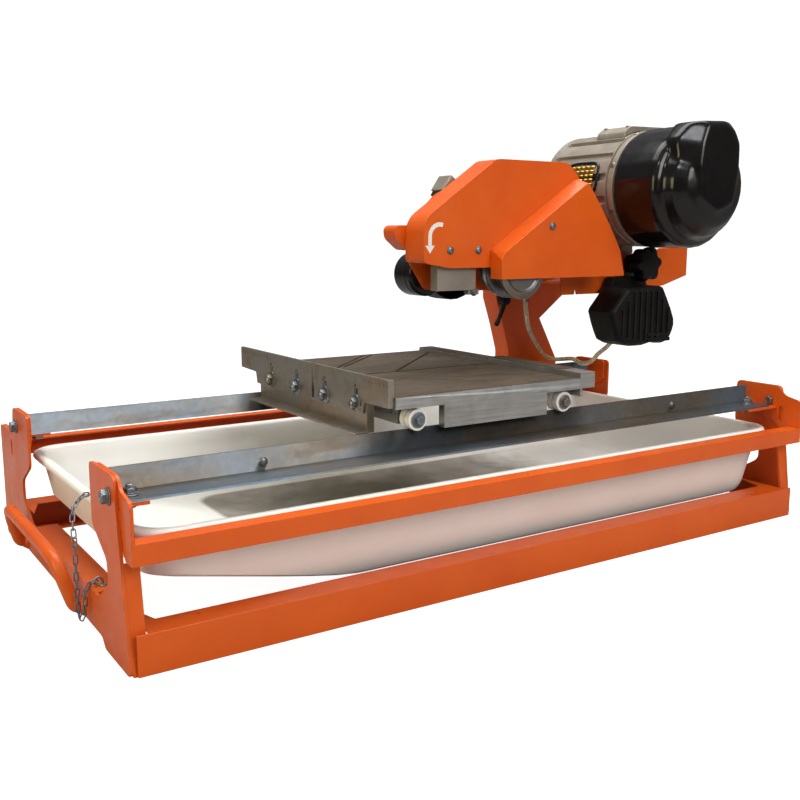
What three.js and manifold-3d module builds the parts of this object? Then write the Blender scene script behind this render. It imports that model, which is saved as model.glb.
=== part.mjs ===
// Masonry saw: folded steel frame with a water tray, a rolling table on two tracks, and a belt-driven
// saw head that pivots over the table. Millimetres, +Z up. X runs along the tracks, Y across them,
// and the blade turns in the plane Y = 0. The origin is under the middle of the machine, on the floor.

import * as THREE from 'three';
import { mergeVertices } from 'three/addons/utils/BufferGeometryUtils.js';
import Module from 'manifold-3d';

const wasm = await Module();
wasm.setup();

// ---------------------------------------------------------------- driving dimensions

const CENTRE_X = 16.4;             // middle of the machine's box, measured from the middle of the tracks
const CENTRE_Y = 33;
const GAP = 0.3;                  // clearance between pieces that touch

const END_X = 595;                // outer face of each end frame
const SHEET = 4;                  // thickness of the end frames' steel
const FLANGE_X = 573;             // inner edge of the uprights' folded flange
const NEAR_Y = -291;              // near lower rail's inner web face
const FAR_Y = 366;                // far lower rail's inner web face
const RAIL_HEIGHT = 50;           // lower rails
const CROSS_TOP = 60;             // cross channel between two uprights
const LOBE_TOP = 227;             // rounded top of every upright
const LOBE_IN = 165;              // inner edge of the uprights
const LOBE_OUT = 260;

const BAR_BOTTOM = 133;           // upper side bars
const BAR_TOP = 158;
const BAR_NEAR = -303;
const BAR_FAR = 365;
const BAR_DEPTH = 25;

const TRACK_Y = 201;              // inner face of each track's upright web
const TRACK_BOTTOM = 192;
const TRACK_TOP = 224;
const TRACK_LEFT = -585;
const TRACK_RIGHT = 567;
const TRACK_BOLTS = [-567, 540];

const TABLE_LEFT = -197;
const TABLE_RIGHT = 142;
const TABLE_Y = 222;
const TABLE_TOP = 268;            // underside of the rubber mat
const MAT_TOP = 272;
const ROLLER_R = 13;
const ROLLER_X = [-156, 116];
const FENCE_X = -202;             // inner face of the fence plate

const SPINDLE = { x: 170, z: 430 };
const MOTOR = { x: 474, z: 573 };
const PIVOT = { x: 500, z: 436 };
const GUARD_NEAR = -26;
const GUARD_FAR = 27;
const COVER_NEAR = -56;
const SWITCH = { x: 60, z: 565, lean: 0.955 };
const CHEEK_NEAR = 32;
const ARM_NEAR = 37.3;
const BELT_Y = 168;

// ---------------------------------------------------------------- materials

function paint(color, roughness, metalness) {
  return new THREE.MeshStandardMaterial({ color, roughness, metalness });
}

const ORANGE = paint(0xd9521f, 0.4, 0.1);
const ZINC = paint(0xa9b4b8, 0.35, 0.9);
const ALUMINIUM = paint(0xb4b6b6, 0.4, 0.9);
const WHITE = paint(0xe9e4da, 0.5, 0.0);
const RUBBER = paint(0x4a423b, 0.9, 0.0);
const GLOSS_BLACK = paint(0x101012, 0.15, 0.0);
const MATT_BLACK = paint(0x1c1c1e, 0.6, 0.0);
const GREY = paint(0x9a9690, 0.5, 0.3);
const STEEL = paint(0x8c8f92, 0.3, 0.9);
const CLEAR = paint(0xd6cfbd, 0.3, 0.0);

// ---------------------------------------------------------------- solid modelling

function toSolid(geometry) {
  const bare = geometry.clone();
  bare.deleteAttribute('normal');
  bare.deleteAttribute('uv');
  const merged = mergeVertices(bare, 1e-4);
  const triVerts = new Uint32Array(merged.index.array);
  const vertProperties = new Float32Array(merged.attributes.position.array);
  return new wasm.Manifold(new wasm.Mesh({ numProp: 3, vertProperties, triVerts }));
}

function toGeometry(solid) {
  const mesh = solid.getMesh();
  const geometry = new THREE.BufferGeometry();
  geometry.setAttribute('position', new THREE.BufferAttribute(mesh.vertProperties, 3));
  geometry.setIndex(new THREE.BufferAttribute(mesh.triVerts, 1));
  geometry.computeVertexNormals();
  return geometry;
}

function box(x0, x1, y0, y1, z0, z1) {
  const geometry = new THREE.BoxGeometry(x1 - x0, y1 - y0, z1 - z0);
  geometry.translate((x0 + x1) / 2, (y0 + y1) / 2, (z0 + z1) / 2);
  return toSolid(geometry);
}

// A closed outline with every corner rounded by the same radius.
function outline(points, radius = 0) {
  const corners = points.map(([a, b]) => new THREE.Vector2(a, b));
  const shape = new THREE.Shape();
  corners.forEach((corner, i) => {
    const before = corners[(i + corners.length - 1) % corners.length];
    const after = corners[(i + 1) % corners.length];
    const back = before.clone().sub(corner);
    const ahead = after.clone().sub(corner);
    const reach = Math.min(radius, back.length() * 0.45, ahead.length() * 0.45);
    const start = corner.clone().add(back.setLength(reach));
    const end = corner.clone().add(ahead.setLength(reach));
    if (i === 0) shape.moveTo(start.x, start.y);
    else shape.lineTo(start.x, start.y);
    if (radius > 0) shape.quadraticCurveTo(corner.x, corner.y, end.x, end.y);
  });
  shape.closePath();
  return shape;
}

function extrude(shape, depth, curveSegments) {
  return new THREE.ExtrudeGeometry(shape, { depth, bevelEnabled: false, curveSegments });
}

// Plates cut from an outline: in the XZ plane between two Y, in YZ between two X, in XY between two Z.
function plateXZ(points, y0, y1, radius = 0, segments = 3) {
  const geometry = extrude(outline(points, radius), y1 - y0, segments);
  geometry.rotateX(Math.PI / 2);
  geometry.translate(0, y1, 0);
  return toSolid(geometry);
}

function plateYZ(points, x0, x1, radius = 0, segments = 3) {
  const geometry = extrude(outline(points, radius), x1 - x0, segments);
  geometry.rotateX(Math.PI / 2);
  geometry.rotateZ(Math.PI / 2);
  geometry.translate(x0, 0, 0);
  return toSolid(geometry);
}

function plateXY(points, z0, z1, radius = 0, segments = 3) {
  const geometry = extrude(outline(points, radius), z1 - z0, segments);
  geometry.translate(0, 0, z0);
  return toSolid(geometry);
}

function cylinderY(x, z, radius, y0, y1, sides = 24) {
  const geometry = new THREE.CylinderGeometry(radius, radius, y1 - y0, sides);
  geometry.translate(x, (y0 + y1) / 2, z);
  return toSolid(geometry);
}

function cylinderX(y, z, radius, x0, x1, sides = 24) {
  const geometry = new THREE.CylinderGeometry(radius, radius, x1 - x0, sides);
  geometry.rotateZ(Math.PI / 2);
  geometry.translate((x0 + x1) / 2, y, z);
  return toSolid(geometry);
}

function cylinderZ(x, y, radius, z0, z1, sides = 24) {
  const geometry = new THREE.CylinderGeometry(radius, radius, z1 - z0, sides);
  geometry.rotateX(Math.PI / 2);
  geometry.translate(x, y, (z0 + z1) / 2);
  return toSolid(geometry);
}

// A turned piece around an axis parallel to Y. The profile is a list of [radius, y].
function turned(x, z, profile, sides = 18) {
  const points = profile.map(([radius, y]) => new THREE.Vector2(radius, y));
  if (THREE.ShapeUtils.area(points) < 0) points.reverse();
  const geometry = new THREE.LatheGeometry(points, sides);
  geometry.translate(x, 0, z);
  return toSolid(geometry);
}

// A round bar, chain or hose along a smooth curve through the points.
function bar(points, radius, sides, steps) {
  const path = new THREE.CatmullRomCurve3(points.map((p) => new THREE.Vector3(...p)));
  const section = new THREE.Shape();
  for (let i = 0; i < sides; i += 1) {
    const angle = (i * 2 * Math.PI) / sides;
    const place = [radius * Math.cos(angle), radius * Math.sin(angle)];
    if (i === 0) section.moveTo(...place);
    else section.lineTo(...place);
  }
  section.closePath();
  return new THREE.ExtrudeGeometry(section, { steps, bevelEnabled: false, extrudePath: path });
}

// Moves every edge of a counter-clockwise outline inwards by the same distance.
function inset(points, distance) {
  const count = points.length;
  const lines = points.map(([x, y], i) => {
    const [nextX, nextY] = points[(i + 1) % count];
    const length = Math.hypot(nextX - x, nextY - y);
    const direction = [(nextX - x) / length, (nextY - y) / length];
    return { at: [x - direction[1] * distance, y + direction[0] * distance], direction };
  });
  return lines.map((line, i) => {
    const before = lines[(i + count - 1) % count];
    const cross = before.direction[0] * line.direction[1] - before.direction[1] * line.direction[0];
    const dx = line.at[0] - before.at[0];
    const dy = line.at[1] - before.at[1];
    const t = (dx * line.direction[1] - dy * line.direction[0]) / cross;
    return [before.at[0] + before.direction[0] * t, before.at[1] + before.direction[1] * t];
  });
}

function add(group, name, shape, material) {
  const geometry = shape.isBufferGeometry ? shape : toGeometry(shape);
  const mesh = new THREE.Mesh(geometry, material.clone());
  mesh.name = name;
  group.add(mesh);
  return mesh;
}

// ---------------------------------------------------------------- frame

// Outline of an end frame in YZ: near upright, cross channel and far upright.
const END_OUTLINE = [
  [-290, 0], [-194, 0], [-184, 12], [312, 12], [322, 0], [FAR_Y - 1, 0], [FAR_Y - 1, 184], [272, 184],
  [LOBE_OUT, LOBE_TOP], [LOBE_IN, LOBE_TOP], [LOBE_IN, 150], [220, 119], [220, 88], [176, CROSS_TOP],
  [-176, CROSS_TOP], [-220, 88], [-220, 119], [-LOBE_IN, 150], [-LOBE_IN, LOBE_TOP], [-LOBE_OUT, LOBE_TOP],
];

function endFrame(side) {
  const inner = Math.min(side * END_X, side * (END_X - SHEET));
  const flangeX = [side * FLANGE_X, side * (END_X - SHEET)].sort((a, b) => a - b);
  const topX = [side * (END_X - 34), side * (END_X - SHEET)].sort((a, b) => a - b);
  const nearFlange = [[-290, 0], [-290 + SHEET, 0], [-272 + SHEET, 128], [-272, 128]];
  let frame = plateYZ(END_OUTLINE, inner, inner + SHEET, 9);
  frame = frame.add(plateYZ(nearFlange, ...flangeX));
  frame = frame.add(box(...flangeX, FAR_Y - 1 - SHEET, FAR_Y - 1, 0, 128));
  frame = frame.add(box(...topX, -160, 160, CROSS_TOP - SHEET, CROSS_TOP));
  for (const y of [-240, 240]) frame = frame.subtract(cylinderX(y, 200, 5, inner - 1, inner + 5, 12));
  return frame.subtract(slotX(284, 146, 172, 10, inner - 1, inner + SHEET + 1));
}

// A vertical slot cut along X.
function slotX(y, z0, z1, width, x0, x1) {
  const half = width / 2;
  const points = [[y - half, z0], [y + half, z0], [y + half, z1], [y - half, z1]];
  return plateYZ(points, x0, x1, half, 3);
}

const NEAR_LOBE = [
  [BAR_NEAR, BAR_BOTTOM], [BAR_NEAR + BAR_DEPTH, BAR_BOTTOM], [-250, 166], [-174, 182],
  [-174, LOBE_TOP], [-258, LOBE_TOP], [-268, 212], [BAR_NEAR, 205],
];
const FAR_LOBE = [
  [BAR_FAR - BAR_DEPTH, BAR_BOTTOM], [BAR_FAR, BAR_BOTTOM], [BAR_FAR, 184], [272, 184],
  [LOBE_OUT, LOBE_TOP], [174, LOBE_TOP], [174, 182], [262, 150],
];

function sideBar(points, outerY, sign, slotY, slotZ) {
  const end = END_X - SHEET - GAP;
  const yRange = [outerY, outerY - sign * BAR_DEPTH].sort((a, b) => a - b);
  const hollow = [outerY - sign * 2.5, outerY - sign * (BAR_DEPTH + 1)].sort((a, b) => a - b);
  let piece = box(-end, end, ...yRange, BAR_BOTTOM, BAR_TOP);
  piece = piece.subtract(box(-end + 10, end - 10, ...hollow, BAR_BOTTOM + 2.5, BAR_TOP - 2.5));
  for (const side of [-1, 1]) {
    const x0 = side < 0 ? -end : end - SHEET;
    const tabX = side < 0 ? [-end + 2, -552] : [510, end - 2];
    const tabY = [sign * 206, sign * 255].sort((a, b) => a - b);
    piece = piece.add(plateYZ(points, x0, x0 + SHEET, 9));
    piece = piece.subtract(cylinderX(sign * 240, 200, 5, x0 - 1, x0 + 5, 12));
    piece = piece.subtract(slotX(slotY, slotZ, slotZ + 26, 9, x0 - 1, x0 + SHEET + 1));
    piece = piece.add(box(...tabX, ...tabY, TRACK_BOTTOM - GAP - SHEET, TRACK_BOTTOM - GAP));
  }
  return piece;
}

// Lower rail: a channel open towards the middle, with corner gussets on its top flange.
function lowerRail(webY, sign) {
  const outer = webY + sign * 3;
  const yRange = [webY, outer].sort((a, b) => a - b);
  const flangeY = [outer, webY - sign * 37].sort((a, b) => a - b);
  const end = FLANGE_X - 1;
  const inner = webY - sign * 37;
  const gusset = webY - sign * 100;
  let top = [[-end, outer], [end, outer], [end, gusset], [552, inner], [-552, inner], [-end, gusset]];
  if (sign > 0) top = top.reverse();
  return box(-587, 587, ...yRange, 0, RAIL_HEIGHT)
    .add(plateXY(top, RAIL_HEIGHT - 3, RAIL_HEIGHT))
    .add(box(-end, end, ...flangeY, 0, 3));
}

function track(sign) {
  const web = [sign * TRACK_Y, sign * (TRACK_Y + 3)].sort((a, b) => a - b);
  const flange = [sign * TRACK_Y, sign * (TRACK_Y + 53)].sort((a, b) => a - b);
  let piece = box(TRACK_LEFT, TRACK_RIGHT, ...web, TRACK_BOTTOM, TRACK_TOP);
  piece = piece.add(box(TRACK_LEFT, TRACK_RIGHT, ...flange, TRACK_BOTTOM, TRACK_BOTTOM + 3));
  for (const x of TRACK_BOLTS) {
    piece = piece.subtract(cylinderZ(x, sign * 228, 4.5, TRACK_BOTTOM - 1, TRACK_BOTTOM + 4, 10));
  }
  for (const x of [420, 446, 472]) {
    piece = piece.subtract(box(x, x + 14, sign * 234 - 3, sign * 234 + 3, TRACK_BOTTOM - 1, 196));
  }
  return piece;
}

// Hexagon bolt with its washer, head at the origin, shank along +Z.
function hexBolt(headR, headH, shankR, length) {
  const washer = cylinderZ(0, 0, headR * 1.25, -1.6, 0, 12);
  const head = cylinderZ(0, 0, headR, -1.6 - headH, -1.5, 6);
  return head.add(washer).add(cylinderZ(0, 0, shankR, -0.1, length, 8));
}

// The tray's floor slopes up to its left end.
const RIM_TOP = 157;
const RIM_LOW = 147;
const TRAY_LEFT = -573;
const TRAY_RIGHT = 574;
const TRAY_NEAR = -266;
const TRAY_FAR = 284;

function trayPlan(margin) {
  return [
    [TRAY_LEFT + margin, TRAY_NEAR + margin], [TRAY_RIGHT - margin, TRAY_NEAR + margin],
    [TRAY_RIGHT - margin, TRAY_FAR - margin], [TRAY_LEFT + margin, TRAY_FAR - margin],
  ];
}

function trayBody(wall) {
  const long = [
    [-290, 35 + wall], [556 - wall, 35 + wall], [572 - wall, 180], [-566 + wall, 180],
    [-552 + wall, 91 + wall],
  ];
  const cross = [
    [-222 + wall, 35 + wall], [240 - wall, 35 + wall], [TRAY_FAR - 4 - wall, 180],
    [TRAY_NEAR + 4 + wall, 180],
  ];
  const body = plateXY(trayPlan(4 + wall), 0, 200, 44, 4);
  return body.intersect(plateXZ(long, -300, 300, 30)).intersect(plateYZ(cross, -620, 620, 30));
}

function waterTray() {
  const rim = plateXY(trayPlan(0), RIM_LOW, RIM_TOP, 48, 4);
  const cut = box(-700, 700, -300, 300, RIM_TOP, 260);
  return trayBody(0).add(rim).subtract(trayBody(4)).subtract(cut);
}

const CHAIN_ROUTE = [
  [-568, -72, 161], [-584, -84, 162], [-603, -108, 150], [-609, -134, 112], [-610, -135, 36],
  [-607, -138, 20], [-603, -142, 36], [-602, -142, 56], [-593, -140, 66], [-578, -138, 66],
];

function carryingBail(side) {
  const points = [
    [588, -104, 24], [603, -104, 27], [617, -95, 62], [624, -58, 88],
    [624, 165, 88], [617, 203, 62], [603, 213, 27], [588, 213, 24],
  ].map(([x, y, z]) => [side * x, y, z]);
  const room = [side * (END_X + GAP), side * 700].sort((a, b) => a - b);
  return toSolid(bar(points, 9, 8, 22)).intersect(box(...room, -200, 300, 0, 200));
}

const COLUMN_OUTLINE = [
  [424, RAIL_HEIGHT + GAP], [560, RAIL_HEIGHT + GAP], [556, 221], [536, 258], [506, 312], [572, 361],
  [572, 397], [384, 397], [384, 360], [404, 301], [420, 245],
];

function headColumn() {
  const front = 290;
  let piece = plateXZ(COLUMN_OUTLINE, front, front + SHEET, 0);
  const edge = plateXZ(COLUMN_OUTLINE, front, front + 46, 0);
  const inside = plateXZ(inset(COLUMN_OUTLINE, SHEET), front + SHEET, front + 60, 0);
  const open = box(440, 545, front + SHEET, front + 60, 0, 397 - SHEET);
  return piece.add(edge.subtract(inside).subtract(open));
}

const CHEEK_OUTLINE = [
  [330, 381], [362, 381], [366, 402], [370, 381], [430, 381], [600, 391], [668, 410],
  [668, 465], [590, 465], [564, 454], [330, 454],
];

// Cheek plate with a shelf that rests on the column's top.
function headBracket() {
  const shelf = box(372, 566, CHEEK_NEAR + 4, 338, 398, 403);
  const rib = plateYZ([[37, 402], [110, 402], [37, 408]], 400, 404);
  return plateXZ(CHEEK_OUTLINE, CHEEK_NEAR, CHEEK_NEAR + 5)
    .subtract(cylinderY(PIVOT.x, PIVOT.z, 6.3, CHEEK_NEAR - 1, CHEEK_NEAR + 6, 16))
    .add(shelf.subtract(cylinderZ(388, 200, 7.4, 397, 404, 12)))
    .add(rib);
}

function waterInlet() {
  const body = cylinderZ(388, 200, 7, 384, 410, 12);
  const collar = cylinderZ(388, 200, 11, 403 + GAP, 410, 6);
  return body.add(collar).add(cylinderZ(388, 200, 4, 370, 385, 12));
}

const HOSE_ROUTE = [
  [388, 200, 369], [389, 201, 350], [424, 231, 300], [468, 256, 262], [500, 264, 234], [519, 254, 225],
  [525, 228, 228], [526, 202, 230.5], [530, 180, 223], [525, 150, 230], [521, 124, 250],
  [519, 100, 266], [516, 82, 282], [504, 74, 299], [488, 66, 310], [480, 55, 312], [480, 43, 312],
];

function waterPump() {
  const shape = outline([
    [408, 294], [470, 285], [542, 292], [556, 326], [520, 396], [424, 396], [386, 353],
  ], 8);
  const geometry = new THREE.ExtrudeGeometry(shape, {
    depth: 56, bevelEnabled: true, bevelThickness: 7, bevelSize: 6, bevelOffset: -6, bevelSegments: 1,
    curveSegments: 2,
  });
  geometry.rotateX(Math.PI / 2);
  geometry.translate(0, 18, 0);
  const nipple = cylinderY(480, 312, 4.2, 24, 41, 12);
  const cap = plateXZ([[424, 380], [530, 380], [518, 412], [436, 412]], 4, 25, 4, 2);
  return toSolid(geometry).add(cap).add(nipple).add(cylinderY(480, 312, 9, 24, 31, 12));
}

function pumpHanger() {
  const strap = plateXZ([[488, 380], [512, 380], [512, 452], [488, 452]], 26, 28, 8);
  return strap.subtract(cylinderY(PIVOT.x, PIVOT.z, 10, 25, 29, 20));
}

function starKnob() {
  const arms = 6;
  const points = [];
  for (let i = 0; i < arms * 4; i += 1) {
    const angle = (i * Math.PI) / (arms * 2);
    const radius = i % 4 < 2 ? 34 : 27;
    points.push([PIVOT.x + radius * Math.cos(angle), PIVOT.z + radius * Math.sin(angle)]);
  }
  const grip = plateXZ(points, -30, 2, 5, 2);
  const stem = cylinderY(PIVOT.x, PIVOT.z, 9.5, 1, CHEEK_NEAR - GAP, 20);
  const hub = cylinderY(PIVOT.x, PIVOT.z, 18, 16, 25.7, 24);
  return grip.add(stem).add(hub).add(cylinderY(PIVOT.x, PIVOT.z, 6, 30, 62, 16));
}

function clampLever() {
  const hub = cylinderY(398, 356, 11, 272, 290 - GAP, 16);
  const arm = plateXZ([[392, 360], [404, 352], [378, 304], [370, 308]], 274, 281, 3, 2);
  return hub.add(arm);
}

// ---------------------------------------------------------------- table

function tablePlate() {
  const lip = 3;
  const beamTop = TABLE_TOP - 8;
  let piece = box(TABLE_LEFT, TABLE_RIGHT, -TABLE_Y, TABLE_Y, beamTop, TABLE_TOP);
  for (const sign of [-1, 1]) {
    const y = [sign * TABLE_Y, sign * (TABLE_Y - lip)].sort((a, b) => a - b);
    piece = piece.add(box(-113, 74, ...y, TRACK_TOP - 1, TABLE_TOP));
    piece = piece.add(box(-116, -113, ...[sign * TABLE_Y, sign * 208].sort((a, b) => a - b), 223, 262));
    piece = piece.add(box(TABLE_LEFT, TABLE_RIGHT, ...y, TABLE_TOP - 12, MAT_TOP));
  }
  piece = piece.subtract(box(TABLE_LEFT - 1, TABLE_RIGHT - 14, -4, 4, beamTop - 1, TABLE_TOP + 1));
  for (const x of ROLLER_X) {
    piece = piece.add(box(x - 14, x + 14, -184, 184, 228, 240));
    for (const sign of [-1, 1]) {
      const y = [sign * 184, sign * 170].sort((a, b) => a - b);
      piece = piece.add(box(x - 14, x + 14, ...y, 228, beamTop + 1));
      const ends = [sign * 184 - 16, sign * 184 + 16];
      piece = piece.subtract(cylinderY(x, TRACK_TOP + ROLLER_R + GAP, 4.4, ...ends, 12));
    }
  }
  return piece;
}

function tableMat() {
  const mat = box(TABLE_LEFT, TABLE_RIGHT, -TABLE_Y + 3.3, TABLE_Y - 3.3, TABLE_TOP + GAP, MAT_TOP);
  return mat.subtract(box(TABLE_LEFT - 1, TABLE_RIGHT - 14, -3, 3, TABLE_TOP, MAT_TOP + 1));
}

function endStop() {
  const x0 = TABLE_RIGHT + GAP;
  const low = box(x0, x0 + 4, -TABLE_Y, TABLE_Y, 244, 277);
  const nearTop = box(x0, x0 + 30, -TABLE_Y, 8, 276, 281);
  const farTop = box(x0, x0 + 30, 8, TABLE_Y, 273, 277);
  const outer = box(x0 + 26, x0 + 30, -TABLE_Y, TABLE_Y, 256, 277);
  return low.add(nearTop).add(farTop).add(outer).add(box(x0, x0 + 30, -TABLE_Y, -TABLE_Y + 4, 256, 281));
}

// Grooved roller around Y: the tread rides on the track's edge between two side flanges.
function roller() {
  const bore = 4.6;
  return turned(0, 0, [
    [bore, -12], [15.5, -12], [15.5, -3.2], [ROLLER_R, -2.6], [ROLLER_R, 2.6], [15.5, 3.2], [15.5, 12],
    [bore, 12], [bore, -12],
  ], 16);
}

const PLATE_SLOTS = [-130, -38, 54, 146];

function fencePlate() {
  const x0 = FENCE_X - 4;
  const points = [
    [-214, 258], [-152, 258], [-148, 240], [204, 240], [208, 259], [268, 261], [268, 297], [-214, 297],
  ];
  let plate = plateYZ(points, x0, FENCE_X, 3, 2);
  plate = plate.add(box(x0, TABLE_LEFT - 0.5, -217, -213, 258, 297));
  for (const y of PLATE_SLOTS) plate = plate.subtract(slotX(y, 247, 281, 11, x0 - 1, FENCE_X + 1));
  return plate.subtract(box(x0 - 1, FENCE_X + 1, -3.5, 4.5, 243, 300));
}

function fenceBracket() {
  const x0 = FENCE_X + GAP;
  let piece = box(x0, x0 + 3.5, -150, 200, 213, 262);
  piece = piece.add(box(x0 - 22, x0 + 1, -156, 200, 213, 216));
  piece = piece.add(box(x0, x0 + 12, -153, -150, 213, 258));
  for (const y of PLATE_SLOTS) piece = piece.subtract(cylinderX(y, 253, 5.2, x0 - 1, x0 + 4, 12));
  return piece.subtract(box(x0 - 1, x0 + 4.5, -3.5, 4.5, 243, 263));
}

// ---------------------------------------------------------------- saw head

const GUARD_OUTLINE = [
  [-18, 446], [34, 437], [396, 437], [386, 466], [360, 508], [333, 545], [310, 592], [285, 614],
  [128, 614], [-8, 521], [-18, 503],
];

function bladeGuard() {
  const outer = plateXZ(GUARD_OUTLINE, GUARD_NEAR, GUARD_FAR, 9);
  const inner = plateXZ(inset(GUARD_OUTLINE, 2.2), GUARD_NEAR + 2.2, GUARD_FAR - 2.2, 7);
  const mouth = box(-5, 385, GUARD_NEAR + 2.2, GUARD_FAR - 2.2, 430, 452);
  const flangeRoom = cylinderY(SPINDLE.x, SPINDLE.z, 49.5, GUARD_NEAR - 1, 0, 24);
  const shaftRoom = cylinderY(SPINDLE.x, SPINDLE.z, 16, GUARD_FAR - 4, GUARD_FAR + 1, 20);
  return outer.subtract(inner).subtract(mouth).subtract(flangeRoom).subtract(shaftRoom);
}

const COVER_OUTLINE = [
  [117, 418], [400, 418], [388, 464], [360, 508], [333, 545], [306, 579], [298, 575], [124, 462],
  [117, 450],
];

// A box that widens by the draft from its near face to the given depth behind it.
function tapered(points, near, depth, draft) {
  const geometry = new THREE.ExtrudeGeometry(outline(points, 3), {
    depth: 4, bevelEnabled: true, bevelThickness: depth, bevelSize: draft, bevelSegments: 1,
    curveSegments: 2,
  });
  geometry.rotateX(Math.PI / 2);
  geometry.translate(0, near + depth + 4, 0);
  return toSolid(geometry);
}

function sideCover() {
  const keep = box(117, 402, COVER_NEAR, GUARD_NEAR - GAP, 418, 620);
  const outer = tapered(COVER_OUTLINE, COVER_NEAR, 32, 9).intersect(keep);
  const inner = tapered(inset(COVER_OUTLINE, 2), COVER_NEAR + 2, 32, 8.5);
  const mouth = box(119, 392, COVER_NEAR + 2, 0, 400, 424);
  const room = box(119, 400, COVER_NEAR - 5, 0, 400, 640);
  return outer.subtract(inner.intersect(room)).subtract(mouth);
}

const ARM_OUTLINE = [
  [132, 395], [208, 395], [330, 413], [548, 420], [554, 455], [420, 455], [330, 465], [208, 465],
  [132, 465],
];

function headArm() {
  const arm = plateXZ(ARM_OUTLINE, ARM_NEAR, ARM_NEAR + 8, 8);
  const shelf = box(410, 545, ARM_NEAR + 1, 148, 450, 455);
  const bore = cylinderY(SPINDLE.x, SPINDLE.z, 28.3, 30, 60, 24);
  const hinge = cylinderY(PIVOT.x, PIVOT.z, 6.3, 30, 70, 16);
  const boss = cylinderY(PIVOT.x, PIVOT.z, 12, ARM_NEAR + 2, 58, 20);
  return arm.add(shelf).add(boss).subtract(bore).subtract(hinge);
}

function spindleHousing() {
  return turned(SPINDLE.x, SPINDLE.z, [
    [14, 29], [24, 29], [24, 36], [28, 37], [28, 140], [36, 141], [36, 150], [14, 150], [14, 29],
  ]);
}

function spindle() {
  return turned(SPINDLE.x, SPINDLE.z, [
    [0, -50], [9, -50], [9, -1], [44, -1], [44, 7], [22, 10], [13, 11], [13, 156], [11, 157], [11, 190],
    [0, 190],
  ]);
}

function outerFlange() {
  return turned(SPINDLE.x, SPINDLE.z, [
    [9.3, -49], [40, -49], [47, -46], [47, -41], [32, -37], [32, -13], [44, -11], [46, -5], [9.3, -5],
    [9.3, -49],
  ], 24);
}

// V-belt pulley around Y with its bore and groove.
function pulley(place, bore, radius) {
  const half = 11;
  return turned(place.x, place.z, [
    [bore, BELT_Y - half], [radius, BELT_Y - half], [radius, BELT_Y - 6.5], [radius - 9, BELT_Y - 4.2],
    [radius - 9, BELT_Y + 4.2], [radius, BELT_Y + 6.5], [radius, BELT_Y + half], [bore, BELT_Y + half],
    [bore, BELT_Y - half],
  ], 24);
}

const MOTOR_PULLEY_R = 40;
const SPINDLE_PULLEY_R = 42;

// Outline that wraps both pulleys at the given distances from their axes.
function loop(motorR, spindleR) {
  const dx = MOTOR.x - SPINDLE.x;
  const dz = MOTOR.z - SPINDLE.z;
  const span = Math.hypot(dx, dz);
  const along = Math.atan2(dz, dx);
  const wrap = Math.acos((spindleR - motorR) / span);
  const points = [];
  for (let i = 0; i <= 12; i += 1) {
    const angle = along + wrap + ((2 * Math.PI - 2 * wrap) * i) / 12;
    points.push([SPINDLE.x + spindleR * Math.cos(angle), SPINDLE.z + spindleR * Math.sin(angle)]);
  }
  for (let i = 0; i <= 12; i += 1) {
    const angle = along - wrap + (2 * wrap * i) / 12;
    points.push([MOTOR.x + motorR * Math.cos(angle), MOTOR.z + motorR * Math.sin(angle)]);
  }
  return points;
}

function driveBelt() {
  const outer = plateXZ(loop(MOTOR_PULLEY_R, SPINDLE_PULLEY_R), BELT_Y - 3.8, BELT_Y + 3.8);
  const inner = plateXZ(loop(MOTOR_PULLEY_R - 8, SPINDLE_PULLEY_R - 8), BELT_Y - 5, BELT_Y + 5);
  return outer.subtract(inner);
}

function beltCover() {
  const outer = plateXZ(loop(56, 58), 151, 200);
  const inner = plateXZ(loop(53.5, 55.5), 150, 197);
  return outer.subtract(inner);
}

function motorBody() {
  let body = turned(MOTOR.x, MOTOR.z, [
    [62, -48], [104, -48], [104, 134], [86, 150], [14, 150], [14, 138], [62, 132], [62, -48],
  ], 30);
  for (const y of [62, 122]) {
    const foot = box(416, 536, y - 9, y + 9, 455 + GAP, 500);
    body = body.add(foot.subtract(cylinderY(MOTOR.x, MOTOR.z, 90, y - 10, y + 10, 30)));
  }
  return body;
}

function terminalBox() {
  return plateXZ([[423, 655], [530, 655], [530, 687], [440, 685], [426, 675]], -20, 50, 5)
    .subtract(cylinderY(MOTOR.x, MOTOR.z, 104.4, -21, 51, 60));
}

function motorRotor() {
  return turned(MOTOR.x, MOTOR.z, [
    [0, -118], [9, -118], [9, -92], [84, -92], [84, -72], [14, -72], [14, -40], [56, -38], [56, 120],
    [13, 122], [13, 155], [10, 156], [10, 186], [0, 186],
  ]);
}

// Cowl over the fan, with a boxy hood that bulges from its domed end.
const HOOD_FACE = [
  [424, 603], [432, 548], [470, 530], [508, 546], [520, 602], [519, 644], [506, 664], [484, 676],
  [440, 672], [428, 640],
];
const HOOD_LIMIT = [
  [400, 560], [470, 505], [552, 528], [576, 560], [584, 612], [582, 656], [560, 684], [420, 678],
  [398, 650],
];

function hood(wall) {
  const limit = plateXZ(inset(HOOD_LIMIT, wall), -199 + wall, -138 - wall / 2, 8, 2);
  return tapered(inset(HOOD_FACE, wall), -198 + wall, 50, 45).intersect(limit);
}

function fanCover() {
  const shell = turned(MOTOR.x, MOTOR.z, [
    [103, -50], [106, -50], [106, -140], [101, -147], [92, -150], [86, -170], [69, -187], [41, -196],
    [0, -199], [0, -196], [40, -193], [67, -184], [83, -168], [89, -147], [99, -144], [103, -138],
    [103, -50],
  ], 26);
  const inside = turned(MOTOR.x, MOTOR.z, [
    [0, -130], [89, -146], [83, -168], [67, -184], [40, -193], [0, -196], [0, -130],
  ], 26);
  return shell.add(hood(0)).subtract(hood(3)).subtract(inside);
}

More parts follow.
